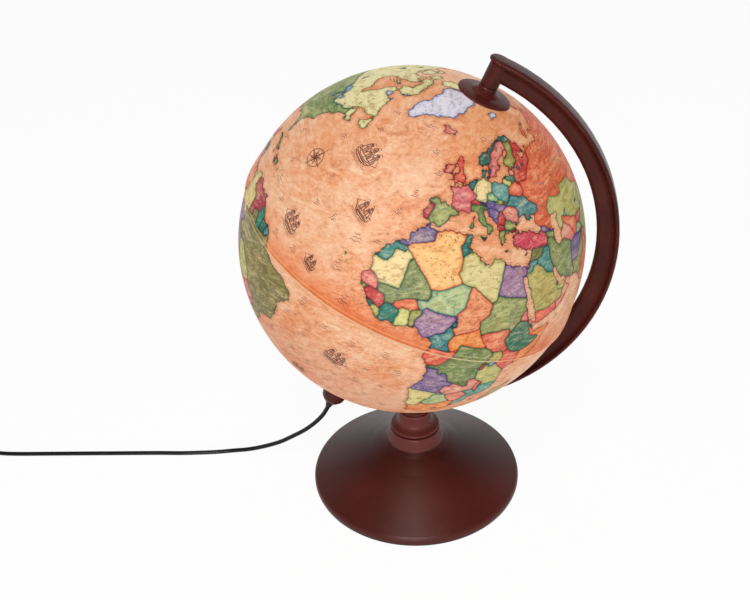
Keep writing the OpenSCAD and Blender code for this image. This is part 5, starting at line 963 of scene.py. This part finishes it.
def half_ball(name, sign, hole_r, cols, rows):
    """One half of the ball: its printed skin with every border on the mesh's edges, its rim, wall and inside."""
    step = 360.0 / cols
    meridians = np.arange(cols) * step - 180.0

    def parallels(r, count):
        return np.linspace(math.degrees(math.asin(SEAM_GAP / r)), math.degrees(math.acos(hole_r / r)), count + 1)

    lon = np.tile(meridians, (rows + 1, 1))
    lat = np.tile(parallels(BALL_R, rows)[:, None], (1, cols)) * sign
    dlat = abs(lat[1, 0] - lat[0, 0])
    ids = region(lon, lat)
    best = np.full(lon.shape, FAR)
    move_lon, move_lat = np.zeros(lon.shape), np.zeros(lon.shape)

    def snap(ia, ib, da, db):
        """Edges from ia to ib with different countries: the nearer end moves to the crossing."""
        differ = ids[ia] != ids[ib]
        a, b = (tuple(k[differ] for k in ends) for ends in (ia, ib))
        lo, hi = np.zeros(len(a[0])), np.ones(len(a[0]))
        for _ in range(7):
            mid = (lo + hi) / 2
            same = region(lon[a] + da * mid, lat[a] + db * mid) == ids[a]
            lo, hi = np.where(same, mid, lo), np.where(same, hi, mid)
        t = (lo + hi) / 2
        for ends, part, way in ((a, t, 1), (b, 1 - t, -1)):
            take = part <= 0.5
            order = np.argsort(-part[take])
            k = tuple(e[take][order] for e in ends)
            w = part[take][order]
            closer = w < best[k]
            k, w = tuple(e[closer] for e in k), w[closer]
            best[k] = w
            move_lon[k] = way * w * da
            move_lat[k] = way * w * db

    rr, cc = np.meshgrid(np.arange(rows + 1), np.arange(cols), indexing="ij")
    snap((rr.ravel(), cc.ravel()), (rr.ravel(), (cc + 1).ravel() % cols), step, 0.0)
    inner = (rr > 0) & (rr < rows - 1)
    snap((rr[inner], cc[inner]), (rr[inner] + 1, cc[inner]), 0.0, dlat * sign)
    on_edge = best < 1
    lon, lat = lon + move_lon, lat + move_lat

    # distance to the nearest border
    skin = ball_point(lon, lat, skin_radius(lat))
    found = skin[on_edge]
    tree = kdtree.KDTree(len(found))
    for i, p in enumerate(found):
        tree.insert(p, i)
    tree.balance()
    edge = np.zeros(lon.shape)
    for k in zip(*np.nonzero(~on_edge)):
        edge[k] = min(FAR, tree.find(skin[k])[2])

    # two triangles a cell, cut along the diagonal that keeps a border whole
    grid = np.arange((rows + 1) * cols).reshape(rows + 1, cols)
    a, b = grid[:-1], np.roll(grid, -1, 1)[:-1]
    d, c = grid[1:], np.roll(grid, -1, 1)[1:]
    e = on_edge.ravel()
    use_ac = ((e[a] & e[c]) | ~(e[b] & e[d]))[..., None]
    tris = np.concatenate([np.where(use_ac, np.stack(one, -1), np.stack(other, -1)).reshape(-1, 3)
                           for one, other in (((a, b, c), (a, b, d)), ((a, c, d), (b, c, d)))])
    mid = ball_point(lon, lat).reshape(-1, 3)[tris].mean(1)
    country = region(np.degrees(np.arctan2(mid[:, 1], mid[:, 0]) - LON_0),
                     np.degrees(np.arcsin(mid[:, 2] / np.linalg.norm(mid, axis=1))))
    if sign < 0:
        tris = tris[:, ::-1]

    # inside of the wall and the two edges
    wall_r = BALL_R - WALL
    inside = [ball_point(meridians, np.full(cols, sign * v), wall_r) for v in parallels(wall_r, WALL_ROWS)]
    extra = (WALL_ROWS + 1) * cols
    wall = grid.size + np.arange(extra).reshape(WALL_ROWS + 1, cols)
    bands = [(wall[k], wall[k + 1], True) for k in range(WALL_ROWS)]
    bands += [(grid[0], wall[0], True), (grid[-1], wall[-1], False)]
    quads = []
    for near, far, back in bands:
        q = np.stack([near, np.roll(near, -1), np.roll(far, -1), far], -1)
        quads.append(q[:, ::-1] if back == (sign > 0) else q)
    quads = np.concatenate(quads)

    points = to_world(np.concatenate([skin.reshape(-1, 3), np.concatenate(inside)])) * MM
    data = bpy.data.meshes.new(name)
    printed_loops = tris.size
    loops = np.concatenate([tris.ravel(), quads.ravel()])
    starts = np.concatenate([np.arange(len(tris)) * 3, printed_loops + np.arange(len(quads)) * 4])
    data.vertices.add(len(points))
    data.loops.add(len(loops))
    data.polygons.add(len(starts))
    data.vertices.foreach_set("co", points.ravel())
    data.loops.foreach_set("vertex_index", loops.astype(np.int32))
    data.polygons.foreach_set("loop_start", starts.astype(np.int32))
    data.update(calc_edges=True)
    data.polygons.foreach_set("use_smooth", np.ones(len(starts), bool))
    data.set_sharp_from_angle(angle=math.radians(40))

    # printed colours of every corner, and what the shader needs of each point
    shift = np.random.default_rng(5).uniform(-0.02, 0.02, (len(CODES), 3))
    faces, lines = np.zeros((2, len(CODES), 4), np.float32)
    for i, code in enumerate(CODES[1:], 1):
        faces[i] = srgb(*np.clip(np.array(TINTS[code]) + shift[i], 0, 1))
        lines[i] = srgb(*np.clip(np.array(BORDERS[code[0]]) + shift[i], 0, 1))
    for key, colours in (("tint", faces), ("line", lines)):
        corner = np.zeros((len(loops), 4), np.float32)
        corner[:, 3] = 1
        corner[:printed_loops] = np.repeat(colours[country], 3, axis=0)
        data.color_attributes.new(key, "FLOAT_COLOR", "CORNER").data.foreach_set("color", corner.ravel())
    for key, values in (("wet", np.repeat(country == 0, 3)), ("printed", 1)):
        corner = np.zeros(len(loops), np.float32)
        corner[:printed_loops] = values
        data.attributes.new(key, "FLOAT", "CORNER").data.foreach_set("value", corner)
    for key, values, rest in (("edge", edge, FAR), ("lat", lat, 0.0)):
        full = np.concatenate([values.ravel(), np.full(extra, rest)]).astype(np.float32)
        data.attributes.new(key, "FLOAT", "POINT").data.foreach_set("value", full)
    data.materials.append(mats["map"].mat)
    obj = add_object(name, data)
    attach(obj, "globe")
    return obj


LIT, GLOW = 0.43, 0.45                      # share of the print that outer light shows, and that shines of itself


def map_material():
    """Printed and tinted paper pattern: parchment sea, washed lands, stronger colour and a dark line at borders."""
    n = Surface("map_print")
    tint, line = n.attribute("tint", "Color"), n.attribute("line", "Color")
    wet, edge, lat, printed = (n.attribute(k) for k in ("wet", "edge", "lat", "printed"))
    cloud = n.noise(17, 4, 0.6, distortion=0.5)
    patch = n.noise(52, 5, 0.65, distortion=0.8)
    wisp = n.noise(1.0, 5, 0.68, n.scaled((95, 32, 190), (0.3, -0.42, 0.25)), 1.1)
    fibre = n.noise(1.0, 4, 0.65, n.scaled((260, 90, 640), (0.3, -0.42, 0.2)), 0.7)
    grain = n.noise(800, 2, 0.5)
    tone = n.math("ADD", n.math("ADD", n.times(wisp, 0.50), n.times(fibre, 0.34)), n.times(grain, 0.16))

    # the sea: parchment, hatched and darker along the shore, glowing just north of the seam
    sea = n.ramp(tone, [(0.37, (0.80, 0.52, 0.37)), (0.44, (0.89, 0.63, 0.46)), (0.495, (0.93, 0.69, 0.53)),
                        (0.55, (0.95, 0.745, 0.595)), (0.64, (0.97, 0.84, 0.71))])
    sea = n.dye(n.span(cloud, 0.49, 0.62, 0, 0.75), sea, (0.97, 0.85, 0.73))
    sea = n.mix(n.span(cloud, 0.48, 0.34, 0, 0.60), sea, (0.96, 0.80, 0.66))
    sea = n.dye(n.span(patch, 0.50, 0.66, 0, 0.50), sea, (0.97, 0.84, 0.74))
    sea = n.dye(n.span(lat, 0, -30, 0, 1.0, True), sea, (0.95, 0.90, 0.89))
    shore = n.span(edge, 0.2, 2.8, 1, 0, True)
    stripes = n.math("SINE", n.times(n.math("ADD", lat, n.times(patch, 0.5)), 8.0))
    dashes = n.noise(1.0, 2, 0.5, n.scaled((110, 110, 700)))
    hatch = n.times(n.span(stripes, 0.1, 0.7), n.span(dashes, 0.46, 0.54))
    sea = n.mix(n.times(hatch, shore, 0.60), sea, (0.42, 0.27, 0.24))
    sea = n.dye(n.times(shore, 0.35), sea, (0.84, 0.66, 0.56))
    north = n.span(lat, -0.6, 0.1)
    glow = n.times(north, n.span(lat, 13, 1, 0, 1, True), n.span(cloud, 0.3, 0.6, 0.6, 1), 0.95)
    sea = n.dye(glow, sea, (0.95, 0.70, 0.53))
    belt = n.times(north, n.span(lat, 3.8, 1.2, 0, 1, True), n.span(patch, 0.3, 0.7, 0.5, 1), 0.80)
    sea = n.dye(belt, sea, (0.95, 0.74, 0.56))

    # the lands: a cloudy wash that gets stronger towards the border
    land = n.mix(n.span(tone, 0.49, 0.60, 0, 0.75), tint, n.mix(0.55, tint, (0.97, 0.88, 0.66)))
    land = n.dye(n.span(tone, 0.50, 0.40, 0, 0.80), land, (0.78, 0.68, 0.58), 0.9)
    land = n.mix(n.span(patch, 0.54, 0.72, 0, 0.25), land, (0.90, 0.72, 0.46))
    wide = n.times(n.span(edge, 0.5, 3.2, 1, 0, True), n.span(patch, 0.3, 0.7, 0.6, 1.0), 0.50)
    land = n.mix(wide, land, n.mix(0.5, line, tint))
    band = n.times(n.span(edge, 0.35, 1.35, 1, 0, True), n.span(wisp, 0.35, 0.65, 1.0, 0.7), 0.80)
    land = n.mix(band, land, line)
    specks = n.times(n.span(n.noise(300, 2, 0.6), 0.63, 0.69), 0.55)
    land = n.mix(specks, land, n.mix(0.85, tint, (0.30, 0.20, 0.16), "MULTIPLY"))

    # the border's ink, a painted highlight along the seam's lip and beside its gap, and the plain wall
    face = n.mix(wet, land, sea)
    ink = n.times(n.span(edge, 0.38, 0.10, 0, 1, True), n.span(patch, 0.25, 0.6, 0.66, 0.95))
    face = n.dye(ink, face, (0.40, 0.28, 0.26), 0.9)
    # painted highlight: pale lines on the north lip and on both edges of the seam gap
    lip_highlight = n.times(n.span(lat, 1.15, 1.35), n.span(lat, 1.75, 1.5), 0.28)
    face = n.mix(lip_highlight, face, (0.97, 0.84, 0.60))
    face = n.mix(n.span(n.math("ABSOLUTE", lat), 0.50, 0.30, 0, 0.45, True), face, (0.97, 0.82, 0.58))
    face = n.mix(printed, (0.93, 0.90, 0.82), face)
    return n.set(Base_Color=n.mix(1.0, face, (LIT, LIT, LIT, 1), "MULTIPLY"), Emission_Color=face,
                 Emission_Strength=GLOW, Roughness=n.span(patch, 0.3, 0.7, 0.42, 0.56), Specular_IOR_Level=0.22,
                 Normal=n.bump(grain, 0.12, 0.00005))


mats["map"] = map_material()
CAP_HOLE, LAMP_HOLE = 8.85, 19.0            # radius of the openings at the poles
columns, north_rows, south_rows = ((560, 140, 132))
north = half_ball("map_north", 1, CAP_HOLE, columns, north_rows)
south = half_ball("map_south", -1, LAMP_HOLE, columns, south_rows)
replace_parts(north, "north_shell")
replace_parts(south, "south_shell")


# ---------------------------------------------------------------- drawn marks on the map
# Rivers and ranges of hills as lines in degrees
RIVERS = """
31.2,31.5 31,29 32.7,25.5 31,21.5 33.5,19.5 32.5,16 32.6,13.5 31,9.5 31.8,4.5 31.5,2
6,4.4 6.8,7.5 4.5,11 2,13.5 0,16.4 -3,16.8 -6,13.5 -10,10
12.4,-6 16,-4.3 17.5,-1 20,1.7 24,1.5 25.5,-1 26,-5 27,-9
36,-18.6 33,-16.8 30,-15.7 27,-17.5 24.5,-17.8 23,-14
16.5,-28.6 20,-28.5 24,-29.3 28,-30
-16.4,16 -13,16 -11,14 -10.5,12
-50.5,0 -54,-2 -60,-3.2 -66,-3 -70,-4 -74,-4.5 -76,-7
-60,-3.2 -62,0 -66,0.5 -69,1
-58,-3.2 -60,-7 -64,-10 -66,-14
-58.4,-34 -59.5,-31 -58.5,-27.4 -54.5,-25.5 -52,-20.5 -47.5,-18
-36.4,-10.5 -40,-9.5 -43.5,-12 -45,-17
-61,9 -64,8 -67.5,6 -66,3
29.6,45.2 27,44 22.5,44.6 19,45.5 19,48 14,48.4 9,48
47.8,46 45,48.5 46,52 49,53.5 49.2,55.8 44,56.5 38,57.5
32,46.5 35,47.5 33,50 30.5,51 31,54
39.3,47.2 43,48.5 40,50 39,53
4,52 7,50.8 8,49 7.6,47.6
-1.5,47.2 1,47.5 3,46
-6.5,41.2 -4,41.5 -2,42
12,53.8 13,51 15,50
72,67 66,65.5 69,61 75,60 82,57 84,53
83,70 87,66 90,60 93,56 94,52
127,72 123,67 128,63 120,60 108,55
48,30.2 44,32.5 40.5,35.3 38,37.5
67.5,24.2 68.5,27.5 71,30 73,34.5
89,23.5 85,25.5 80,27 78,30
-89.5,29.5 -91,33 -89.5,37 -91,42 -95,47
-90.3,38.8 -96,41 -101,45 -108,47.5
-66,49.5 -71,47 -76,44.3
-134,69 -129,66 -123,62 -116,61
-97.3,26 -101,29.5 -106.5,32
121,31.8 117,31 112,30 105,29.5 100,27
118.5,37.8 114,35 110,35.5 110,40 104,37 100,35
106,10.3 105.5,15 102,19 100,23
139,-35.5 142,-34 146,-36
"""
RANGES = """
-8,31 -4,33 1,34.5 7,35.5
6,45 8,46.3 11,46.8 14,47
-1,42.8 2,42.5
-7,43 -4,43
41,43.5 44,42.5 47,41.5
59,67 59,60 58,54 59,51
36,8 39,9.5 38,12.5 40,7
30,1 29,-3
8,6 12,8
5,23 8,24 10,22
17,21 19,19
28,-31 30,-28.5
70,36 75,35.5 80,31 86,28.5 92,28
72,41 78,42 84,43
88,50 95,52 100,51
46,36 50,34 54,30.5
31,37.5 36,38.5
8,60 10,62 14,65 18,68
22,47 25,46
10,44 13,43 15.5,41
-122,49 -118,45 -113,42 -108,38 -106,34
-130,57 -124,53 -117,51
-150,62.5 -145,62
-83,35.5 -79,38.5 -75,41.5
-107,27 -103,23 -99,19
-77,5 -76,0 -78,-5 -75,-11 -70,-15 -67,-20 -69,-27 -70,-34 -71.5,-42 -72.5,-48
-52,-16 -46,-15
-45,-21 -42,-19
-64,4.5 -61,5
147,-36 151,-31 146,-20
122,-22 131,-24
-70,52 -66,54
"""


INK_RISE = 0.07                             # height of ink over the skin
STROKE_STEP = 1.5                           # longest straight piece of a stroke
HILL_GAP = 2.3                              # way from one hill mark to the next
SEAM_CLEAR = 2.5                            # degrees beside the seam without small marks


def facing_out(face, points):
    a, b, c = (points[k] for k in face[:3])
    return face if np.dot(np.cross(b - a, c - a), a) > 0 else tuple(face)[::-1]


class Ink:
    """Flat lines and spots that lie on the ball, gathered into one piece."""

    def __init__(self):
        self.points, self.faces = [], []

    def at(self, lon, lat):
        lon, lat = np.asarray(lon, float), np.asarray(lat, float)
        return ball_point(lon, lat, skin_radius(lat) + INK_RISE)

    def line(self, lon, lat, width, taper=0.0):
        p = self.at(lon, lat)
        side = np.cross(p, np.gradient(p, axis=0))
        side /= np.linalg.norm(side, axis=1, keepdims=True) + 1e-12
        t = np.linspace(0, 1, len(p))
        w = (width / 2 * (1 - taper * np.abs(2 * t - 1) ** 3))[:, None]
        base = len(self.points)
        self.points += list(np.stack([p + side * w, p - side * w], 1).reshape(-1, 3))
        self.faces += [(k, k + 1, k + 3, k + 2) for k in range(base, base + 2 * len(p) - 2, 2)]

    def local(self, place, uv, turn=0.0, size=1.0):
        """Longitudes and latitudes of points given in mm round a place."""
        uv = np.asarray(uv, float) * size
        c, s = math.cos(turn), math.sin(turn)
        u, v = c * uv[:, 0] - s * uv[:, 1], s * uv[:, 0] + c * uv[:, 1]
        lat = place[1] + np.degrees(v / BALL_R)
        return place[0] + np.degrees(u / BALL_R) / math.cos(math.radians(place[1])), lat

    def stroke(self, place, uv, width, turn=0.0, size=1.0, taper=0.5):
        uv = np.asarray(uv, float)
        steps = [uv[:1]]
        for a, b in zip(uv[:-1], uv[1:]):
            k = max(2, int(np.linalg.norm(b - a) * size / STROKE_STEP) + 1)
            steps.append(a + (b - a) * np.linspace(0, 1, k)[1:, None])
        self.line(*self.local(place, np.concatenate(steps), turn, size), width, taper)

    def spot(self, place, uv, turn=0.0, size=1.0):
        base = len(self.points)
        self.points += list(self.at(*self.local(place, uv, turn, size)))
        self.faces.append(list(range(base, len(self.points))))

    def piece(self, name, material):
        points = np.array(self.points)
        faces = [facing_out(face, points) for face in self.faces]
        return mesh_piece(name, to_world(points), faces, material, "globe")


def curve(points, steps=8):
    """A smooth line through points."""
    p = np.array(points, float)
    q = np.vstack([2 * p[0] - p[1], p, 2 * p[-1] - p[-2]])
    out = []
    for i in range(len(p) - 1):
        a, b, c, d = q[i:i + 4]
        for t in np.linspace(0, 1, steps, endpoint=False):
            out.append(0.5 * (2 * b + (c - a) * t + (2 * a - 5 * b + 4 * c - d) * t * t
                              + (3 * b - 3 * c + d - a) * t ** 3))
    out.append(p[-1])
    return np.array(out)


def circle(r, count):
    """Points round a circle, the first of them again at its end."""
    return [polar(r, a) for a in np.linspace(0, TURN, count)]


def draw_ship(ink, place, size, turn, masts, flip):
    """A sailing ship on waves, with its hull from -1 to 1; flip -1 heads it west."""
    def st(points, width=0.54):
        ink.stroke(place, [(x * flip, y) for x, y in points], width, turn, size)

    st(curve([(-1.0, -0.28), (-0.93, -0.52), (-0.70, -0.68), (0.0, -0.74), (0.55, -0.68), (0.85, -0.48),
              (1.08, -0.20)]), 0.6)
    st([(-1.0, -0.28), (-0.56, -0.34), (-0.52, -0.44), (0.46, -0.44), (0.52, -0.32), (1.08, -0.20)])
    st([(-0.96, -0.42), (-0.5, -0.54), (0.5, -0.54), (0.93, -0.36)])
    st([(-0.90, -0.56), (0.75, -0.60)])
    st([(-1.0, -0.28), (-1.08, -0.04), (-0.74, -0.10), (-0.66, -0.34)])
    for k in range(5):
        st([(-0.45 + 0.22 * k, -0.50), (-0.43 + 0.22 * k, -0.56)], 0.5)
    st([(1.08, -0.20), (1.46, 0.06)])
    xs = {3: (-0.56, 0.06, 0.64), 2: (-0.35, 0.42)}[masts]
    for i, x in enumerate(xs):
        top = 0.98 if len(xs) > 2 and i == 1 else 0.80
        st([(x, -0.44), (x, top + 0.10)])
        st([(x, top + 0.10), (x + 0.14, top + 0.15), (x + 0.27, top + 0.08)], 0.5)
        for low, high, w0, w1 in ((-0.26, 0.22, 0.30, 0.24), (0.27, 0.56, 0.23, 0.17), (0.60, top - 0.04, 0.15, 0.10)):
            mid = (low + high) / 2
            st([(x - w1, high), (x + w1, high)])
            st(curve([(x + w1, high), (x + w0 * 1.12, mid), (x + w0, low)], 5))
            st(curve([(x - w1, high), (x - w0 * 0.92, mid), (x - w0, low)], 5))
            st(curve([(x - w0, low), (x, low + 0.07), (x + w0, low)], 5))
            for t in (0.72, 0.82, 0.92):
                st([(x - w1 + 2 * w1 * t, high), (x - w0 + 2 * w0 * t, low + 0.04)], 0.32)
    st([(xs[0], 0.85), (-1.0, -0.28)], 0.3)
    st([(xs[-1], 0.85), (1.40, 0.02)], 0.3)
    for y, a, b in ((-0.80, -1.25, 1.15), (-0.92, -0.9, 1.4), (-1.04, -1.1, 0.7)):
        st([(x, y + 0.035 * (-1) ** j) for j, x in enumerate(np.linspace(a, b, 13))], 0.26)


def draw_rose(ink, place, size, turn):
    """A compass rose: three rings with ticks, four short and four long points, each half filled, and a tip."""
    for r, width in ((1.0, 0.34), (0.93, 0.22), (0.50, 0.26)):
        ink.stroke(place, circle(r, 49), width, turn, size, 0)
    for k in range(32):
        a = k * math.pi / 16
        ink.stroke(place, [polar(0.93, a), polar(1.0, a)], 0.22, turn, size)
    for reach, offset in ((0.80, math.pi / 4), (1.28, 0.0)):
        for k in range(4):
            a = offset + k * math.pi / 2
            tip = polar(reach, a)
            for way in (1, -1):
                foot = polar(0.20, a + way * math.pi / 4)
                ink.stroke(place, [tip, foot, (0, 0)], 0.28, turn, size, 0)
                if way == 1:
                    ink.spot(place, [(0, 0), foot, tip], turn, size)
    ink.stroke(place, [(-0.10, 1.34), (0, 1.62), (0.10, 1.34), (0, 1.42), (-0.10, 1.34)], 0.3, turn, size, 0)


def scatter(ink, count, on_land, gap, taken, shapes, lengths, width, seed):
    """Small marks of strokes on open sea or on land, clear of coasts and of the places in taken."""
    draw = np.random.default_rng(seed)
    ring = circle(1.0, 9)[:8]
    limit = math.cos(gap / BALL_R)
    while count:
        place = (draw.uniform(-176, 176), math.degrees(math.asin(draw.uniform(-0.88, 0.93))))
        near = region(*ink.local(place, ring, 0.0, gap * 0.42))
        here = ball_point(*place)
        if (near > 0).all() != on_land or (near > 0).any() != on_land or abs(place[1]) < SEAM_CLEAR:
            continue
        if any(np.dot(here, there) > close for there, close in taken):
            continue
        taken.append((here, limit))
        count -= 1
        turn, size = draw.uniform(-0.25, 0.25), draw.uniform(*lengths)
        for shape in shapes[draw.integers(len(shapes))]:
            ink.stroke(place, shape, width, turn, size)


def land_at(lon, lat):
    return region(np.array([lon]), np.array([lat]))[0]


def draw_hills(ink, path):
    """Hill marks spaced along a range."""
    gone, last = 0.0, path[0]
    for q in path[1:]:
        gone += BALL_R * math.radians(math.hypot((q[0] - last[0]) * math.cos(math.radians(q[1])), q[1] - last[1]))
        last = q
        if gone < HILL_GAP:
            continue
        gone = 0.0
        place = q + marks.uniform(-0.6, 0.6, 2)
        if not land_at(*place):
            continue
        size = marks.uniform(0.8, 1.25)
        ink.stroke(place, [(-0.9, -0.4), (-0.1, 0.8), (0.15, 0.75), (0.9, -0.45)], 0.26, 0, size)
        for k in range(3):
            ink.stroke(place, [(0.12 + 0.16 * k, 0.6 - 0.28 * k), (0.28 + 0.18 * k, -0.35)], 0.2, 0, size)


def draw_dots(ink, count):
    """Round spots spread over the lands."""
    while count:
        z = marks.uniform(-0.85, 0.95)
        place = (marks.uniform(-180, 180), math.degrees(math.asin(z)))
        if land_at(*place):
            count -= 1
            ink.spot(place, circle(marks.uniform(0.22, 0.42), 7)[:6])


def draw_ripples(ink, tries, grid):
    """Short wave strokes in rough rows on the southern Atlantic."""
    for _ in range(tries):
        place = (marks.uniform(-34, 6), marks.uniform(-46, -8))
        if land_at(*place) or marks.uniform() < 0.25:
            continue
        place = tuple(round(v / grid) * grid + marks.uniform(-0.5, 0.5) for v in place)
        ink.stroke(place, [(-0.45, -0.2), (0, 0.15), (0.45, -0.1)], 0.32, marks.uniform(-0.5, 0.5))


def draw_river(ink, path):
    """A river that wanders about its path and starts at the coast."""
    wander = np.cumsum(marks.normal(0, 0.10, path.shape), axis=0)
    wander -= np.linspace(0, 1, len(path))[:, None] * wander[-1]
    path = path + wander
    dry = region(path[:, 0], path[:, 1]) > 0
    if dry.any():
        path = path[max(0, int(np.argmax(dry)) - 1):]
        ink.line(path[:, 0], path[:, 1], 0.34, 0.35)


def ink_material(name, scale, dark, pale, glow, stain=None):
    """Worn ink that glows a little with the map, with clouds of a third colour where one is given."""
    n = Surface(name)
    edge_highlight = n.noise(scale, 4, 0.6)
    colour = n.mix(n.span(edge_highlight, 0.38, 0.62), dark, pale)
    if stain:
        colour = n.mix(n.span(n.noise(60, 3, 0.6), 0.4, 0.7, 0, 0.4), colour, stain)
    return n.set(Base_Color=colour, Emission_Color=colour, Emission_Strength=glow,
                 Roughness=n.span(edge_highlight, 0.3, 0.7, 0.45, 0.6), Specular_IOR_Level=0.2)


mats["ink"] = ink_material("map_ink", 380, (0.22, 0.12, 0.13), (0.42, 0.25, 0.22), 0.25, (0.38, 0.22, 0.19))
mats["river"] = ink_material("river_ink", 300, (0.24, 0.34, 0.38), (0.42, 0.47, 0.45), 0.22)

# Longitude, latitude, size in mm, turn, and a ship's masts and flip
SHIPS = ((-41, 43, 8.2, -0.30, 3, 1), (-27, 30, 6.6, -0.35, 2, -1), (-46, 13, 7.2, -0.35, 3, -1),
         (-33, 8, 5.0, -0.35, 2, -1), (-14, -17, 7.4, -0.3, 3, 1), (-27, -38, 6.0, -0.2, 2, 1),
         (78, -12, 7.5, 0, 3, -1), (66, -33, 6.5, 0, 3, 1), (-150, 34, 8.0, 0, 3, 1), (-128, 8, 6.5, 0, 2, -1),
         (-160, -22, 7.5, 0, 3, 1), (168, 28, 7.0, 0, 3, -1), (-105, -34, 7.5, 0, 3, -1), (100, -42, 7.0, 0, 3, 1),
         (165, 2, 6.0, 0, 2, 1))
ROSES = ((-56, 31, 6.6, -0.3), (-138, -48, 8.0, 0), (-165, 14, 7.0, 0), (88, -26, 7.0, 0), (8, -52, 7.0, 0))
WAVE = curve([(-1.0, -0.10), (-0.55, 0.12), (-0.05, -0.08), (0.45, 0.12), (1.0, -0.10)], 3)
WAVES = [[WAVE * (1.0 - 0.22 * k, 1.0) + (0.28 * (k % 2) + side, 0.52 * k) for k in range(count)]
         for count, side in ((2, 0.0), (3, 0.1), (3, -0.2), (4, -0.1))]
TUFTS = [[[(-0.55, -0.25), (-0.38, 0.35)], [(0.0, -0.30), (0.0, 0.45)], [(0.55, -0.25), (0.38, 0.35)]],
         [[(-0.60, -0.30), (0.0, 0.50), (0.60, -0.30)], [(0.15, -0.05), (0.38, -0.30)]],
         [[(-0.70, 0.0), (0.75, 0.05)], [(-0.35, -0.35), (0.45, -0.32)]]]

ink, taken = Ink(), []                      # taken: places with a drawing, and how near to them is too near
for draw_mark, table in ((draw_ship, SHIPS), (draw_rose, ROSES)):
    for lon, lat, size, *more in table:
        draw_mark(ink, (lon, lat), size, *more)
        taken.append((ball_point(lon, lat), math.cos((size * 1.5 + 5) / BALL_R)))
marks = np.random.default_rng(23)
for line in outlines(RANGES):
    draw_hills(ink, curve(parse(line), 12))
draw_dots(ink, 330)
draw_ripples(ink, 240, 2.6)
scatter(ink, 210, False, 13.0, taken, WAVES, (2.2, 4.2), 0.36, 41)
scatter(ink, 420, True, 4.6, [], TUFTS, (0.9, 1.5), 0.34, 43)
ink.piece("map_ink", mats["ink"])
rivers = Ink()
for line in outlines(RIVERS):
    draw_river(rivers, curve(parse(line), 14))
rivers.piece("map_rivers", mats["river"])


# ---------------------------------------------------------------- floor and light
def add_floor():
    """A floor that looks white to the camera and in reflections, and takes faint shadows."""
    n = Surface("floor")
    n.tree.nodes.remove(n.bsdf)
    colour = n.mix(n.span(n.noise(3, 2, 0.5), 0.3, 0.7), (0.97, 0.97, 0.97), (0.98, 0.98, 0.98))
    diffuse = n.new("BsdfDiffuse", {0: colour}).outputs[0]
    glow = n.new("Emission", {0: (1, 1, 1, 1), 1: 1.0}).outputs[0]
    path = n.new("LightPath").outputs
    seen = n.either(path["Is Camera Ray"], path["Is Glossy Ray"], path["Is Transmission Ray"])
    n.put(n.out.inputs[0], n.over(n.times(seen, 0.95), diffuse, glow))
    data = bpy.data.meshes.new("floor")
    s = 6.0
    data.from_pydata([(-s, -s, 0), (s, -s, 0), (s, s, 0), (-s, s, 0)], [], [(0, 1, 2, 3)])
    data.materials.append(n.mat)
    add_object("floor", data)


def add_world():
    """White where it is seen; in reflections it is white up to 30 degrees and dims overhead, as in a studio."""
    scene.world = bpy.data.worlds.new("studio")
    n = Tree(scene.world)
    path = n.new("LightPath").outputs
    height = n.new("SeparateXYZ", {0: n.new("TexCoord").outputs["Generated"]}).outputs["Z"]
    soft, shiny, white = (n.new("Background", {"Color": (1, 1, 1, 1), "Strength": strength}).outputs[0]
                          for strength in (0.08, n.span(height, 0.50, 0.72, 1.0, 0.10), 1.0))
    result = n.over(n.either(path["Is Glossy Ray"], path["Is Transmission Ray"]), soft, shiny)
    n.new("OutputWorld", {0: n.over(path["Is Camera Ray"], result, white)})


def add_light(name, place, aim, size, power):
    data = bpy.data.lights.new(name, "AREA")
    data.shape = "RECTANGLE"
    data.size, data.size_y = size
    data.energy = power
    obj = add_object(name, data)
    obj.location = place
    obj.rotation_euler = (Vector(aim) - Vector(place)).to_track_quat("-Z", "Y").to_euler()


add_floor()
add_world()
add_light("front", (0.05, -1.90, 0.50), (0, 0, 0.15), (0.8, 0.5), 20)
add_light("key", (0.0, -0.90, 1.60), (0, 0, 0.12), (0.45, 0.45), 19)
add_light("top", (0.0, 0.55, 1.85), (0, 0, 0.1), (1.4, 1.0), 5)

scene.view_settings.view_transform = "Standard"
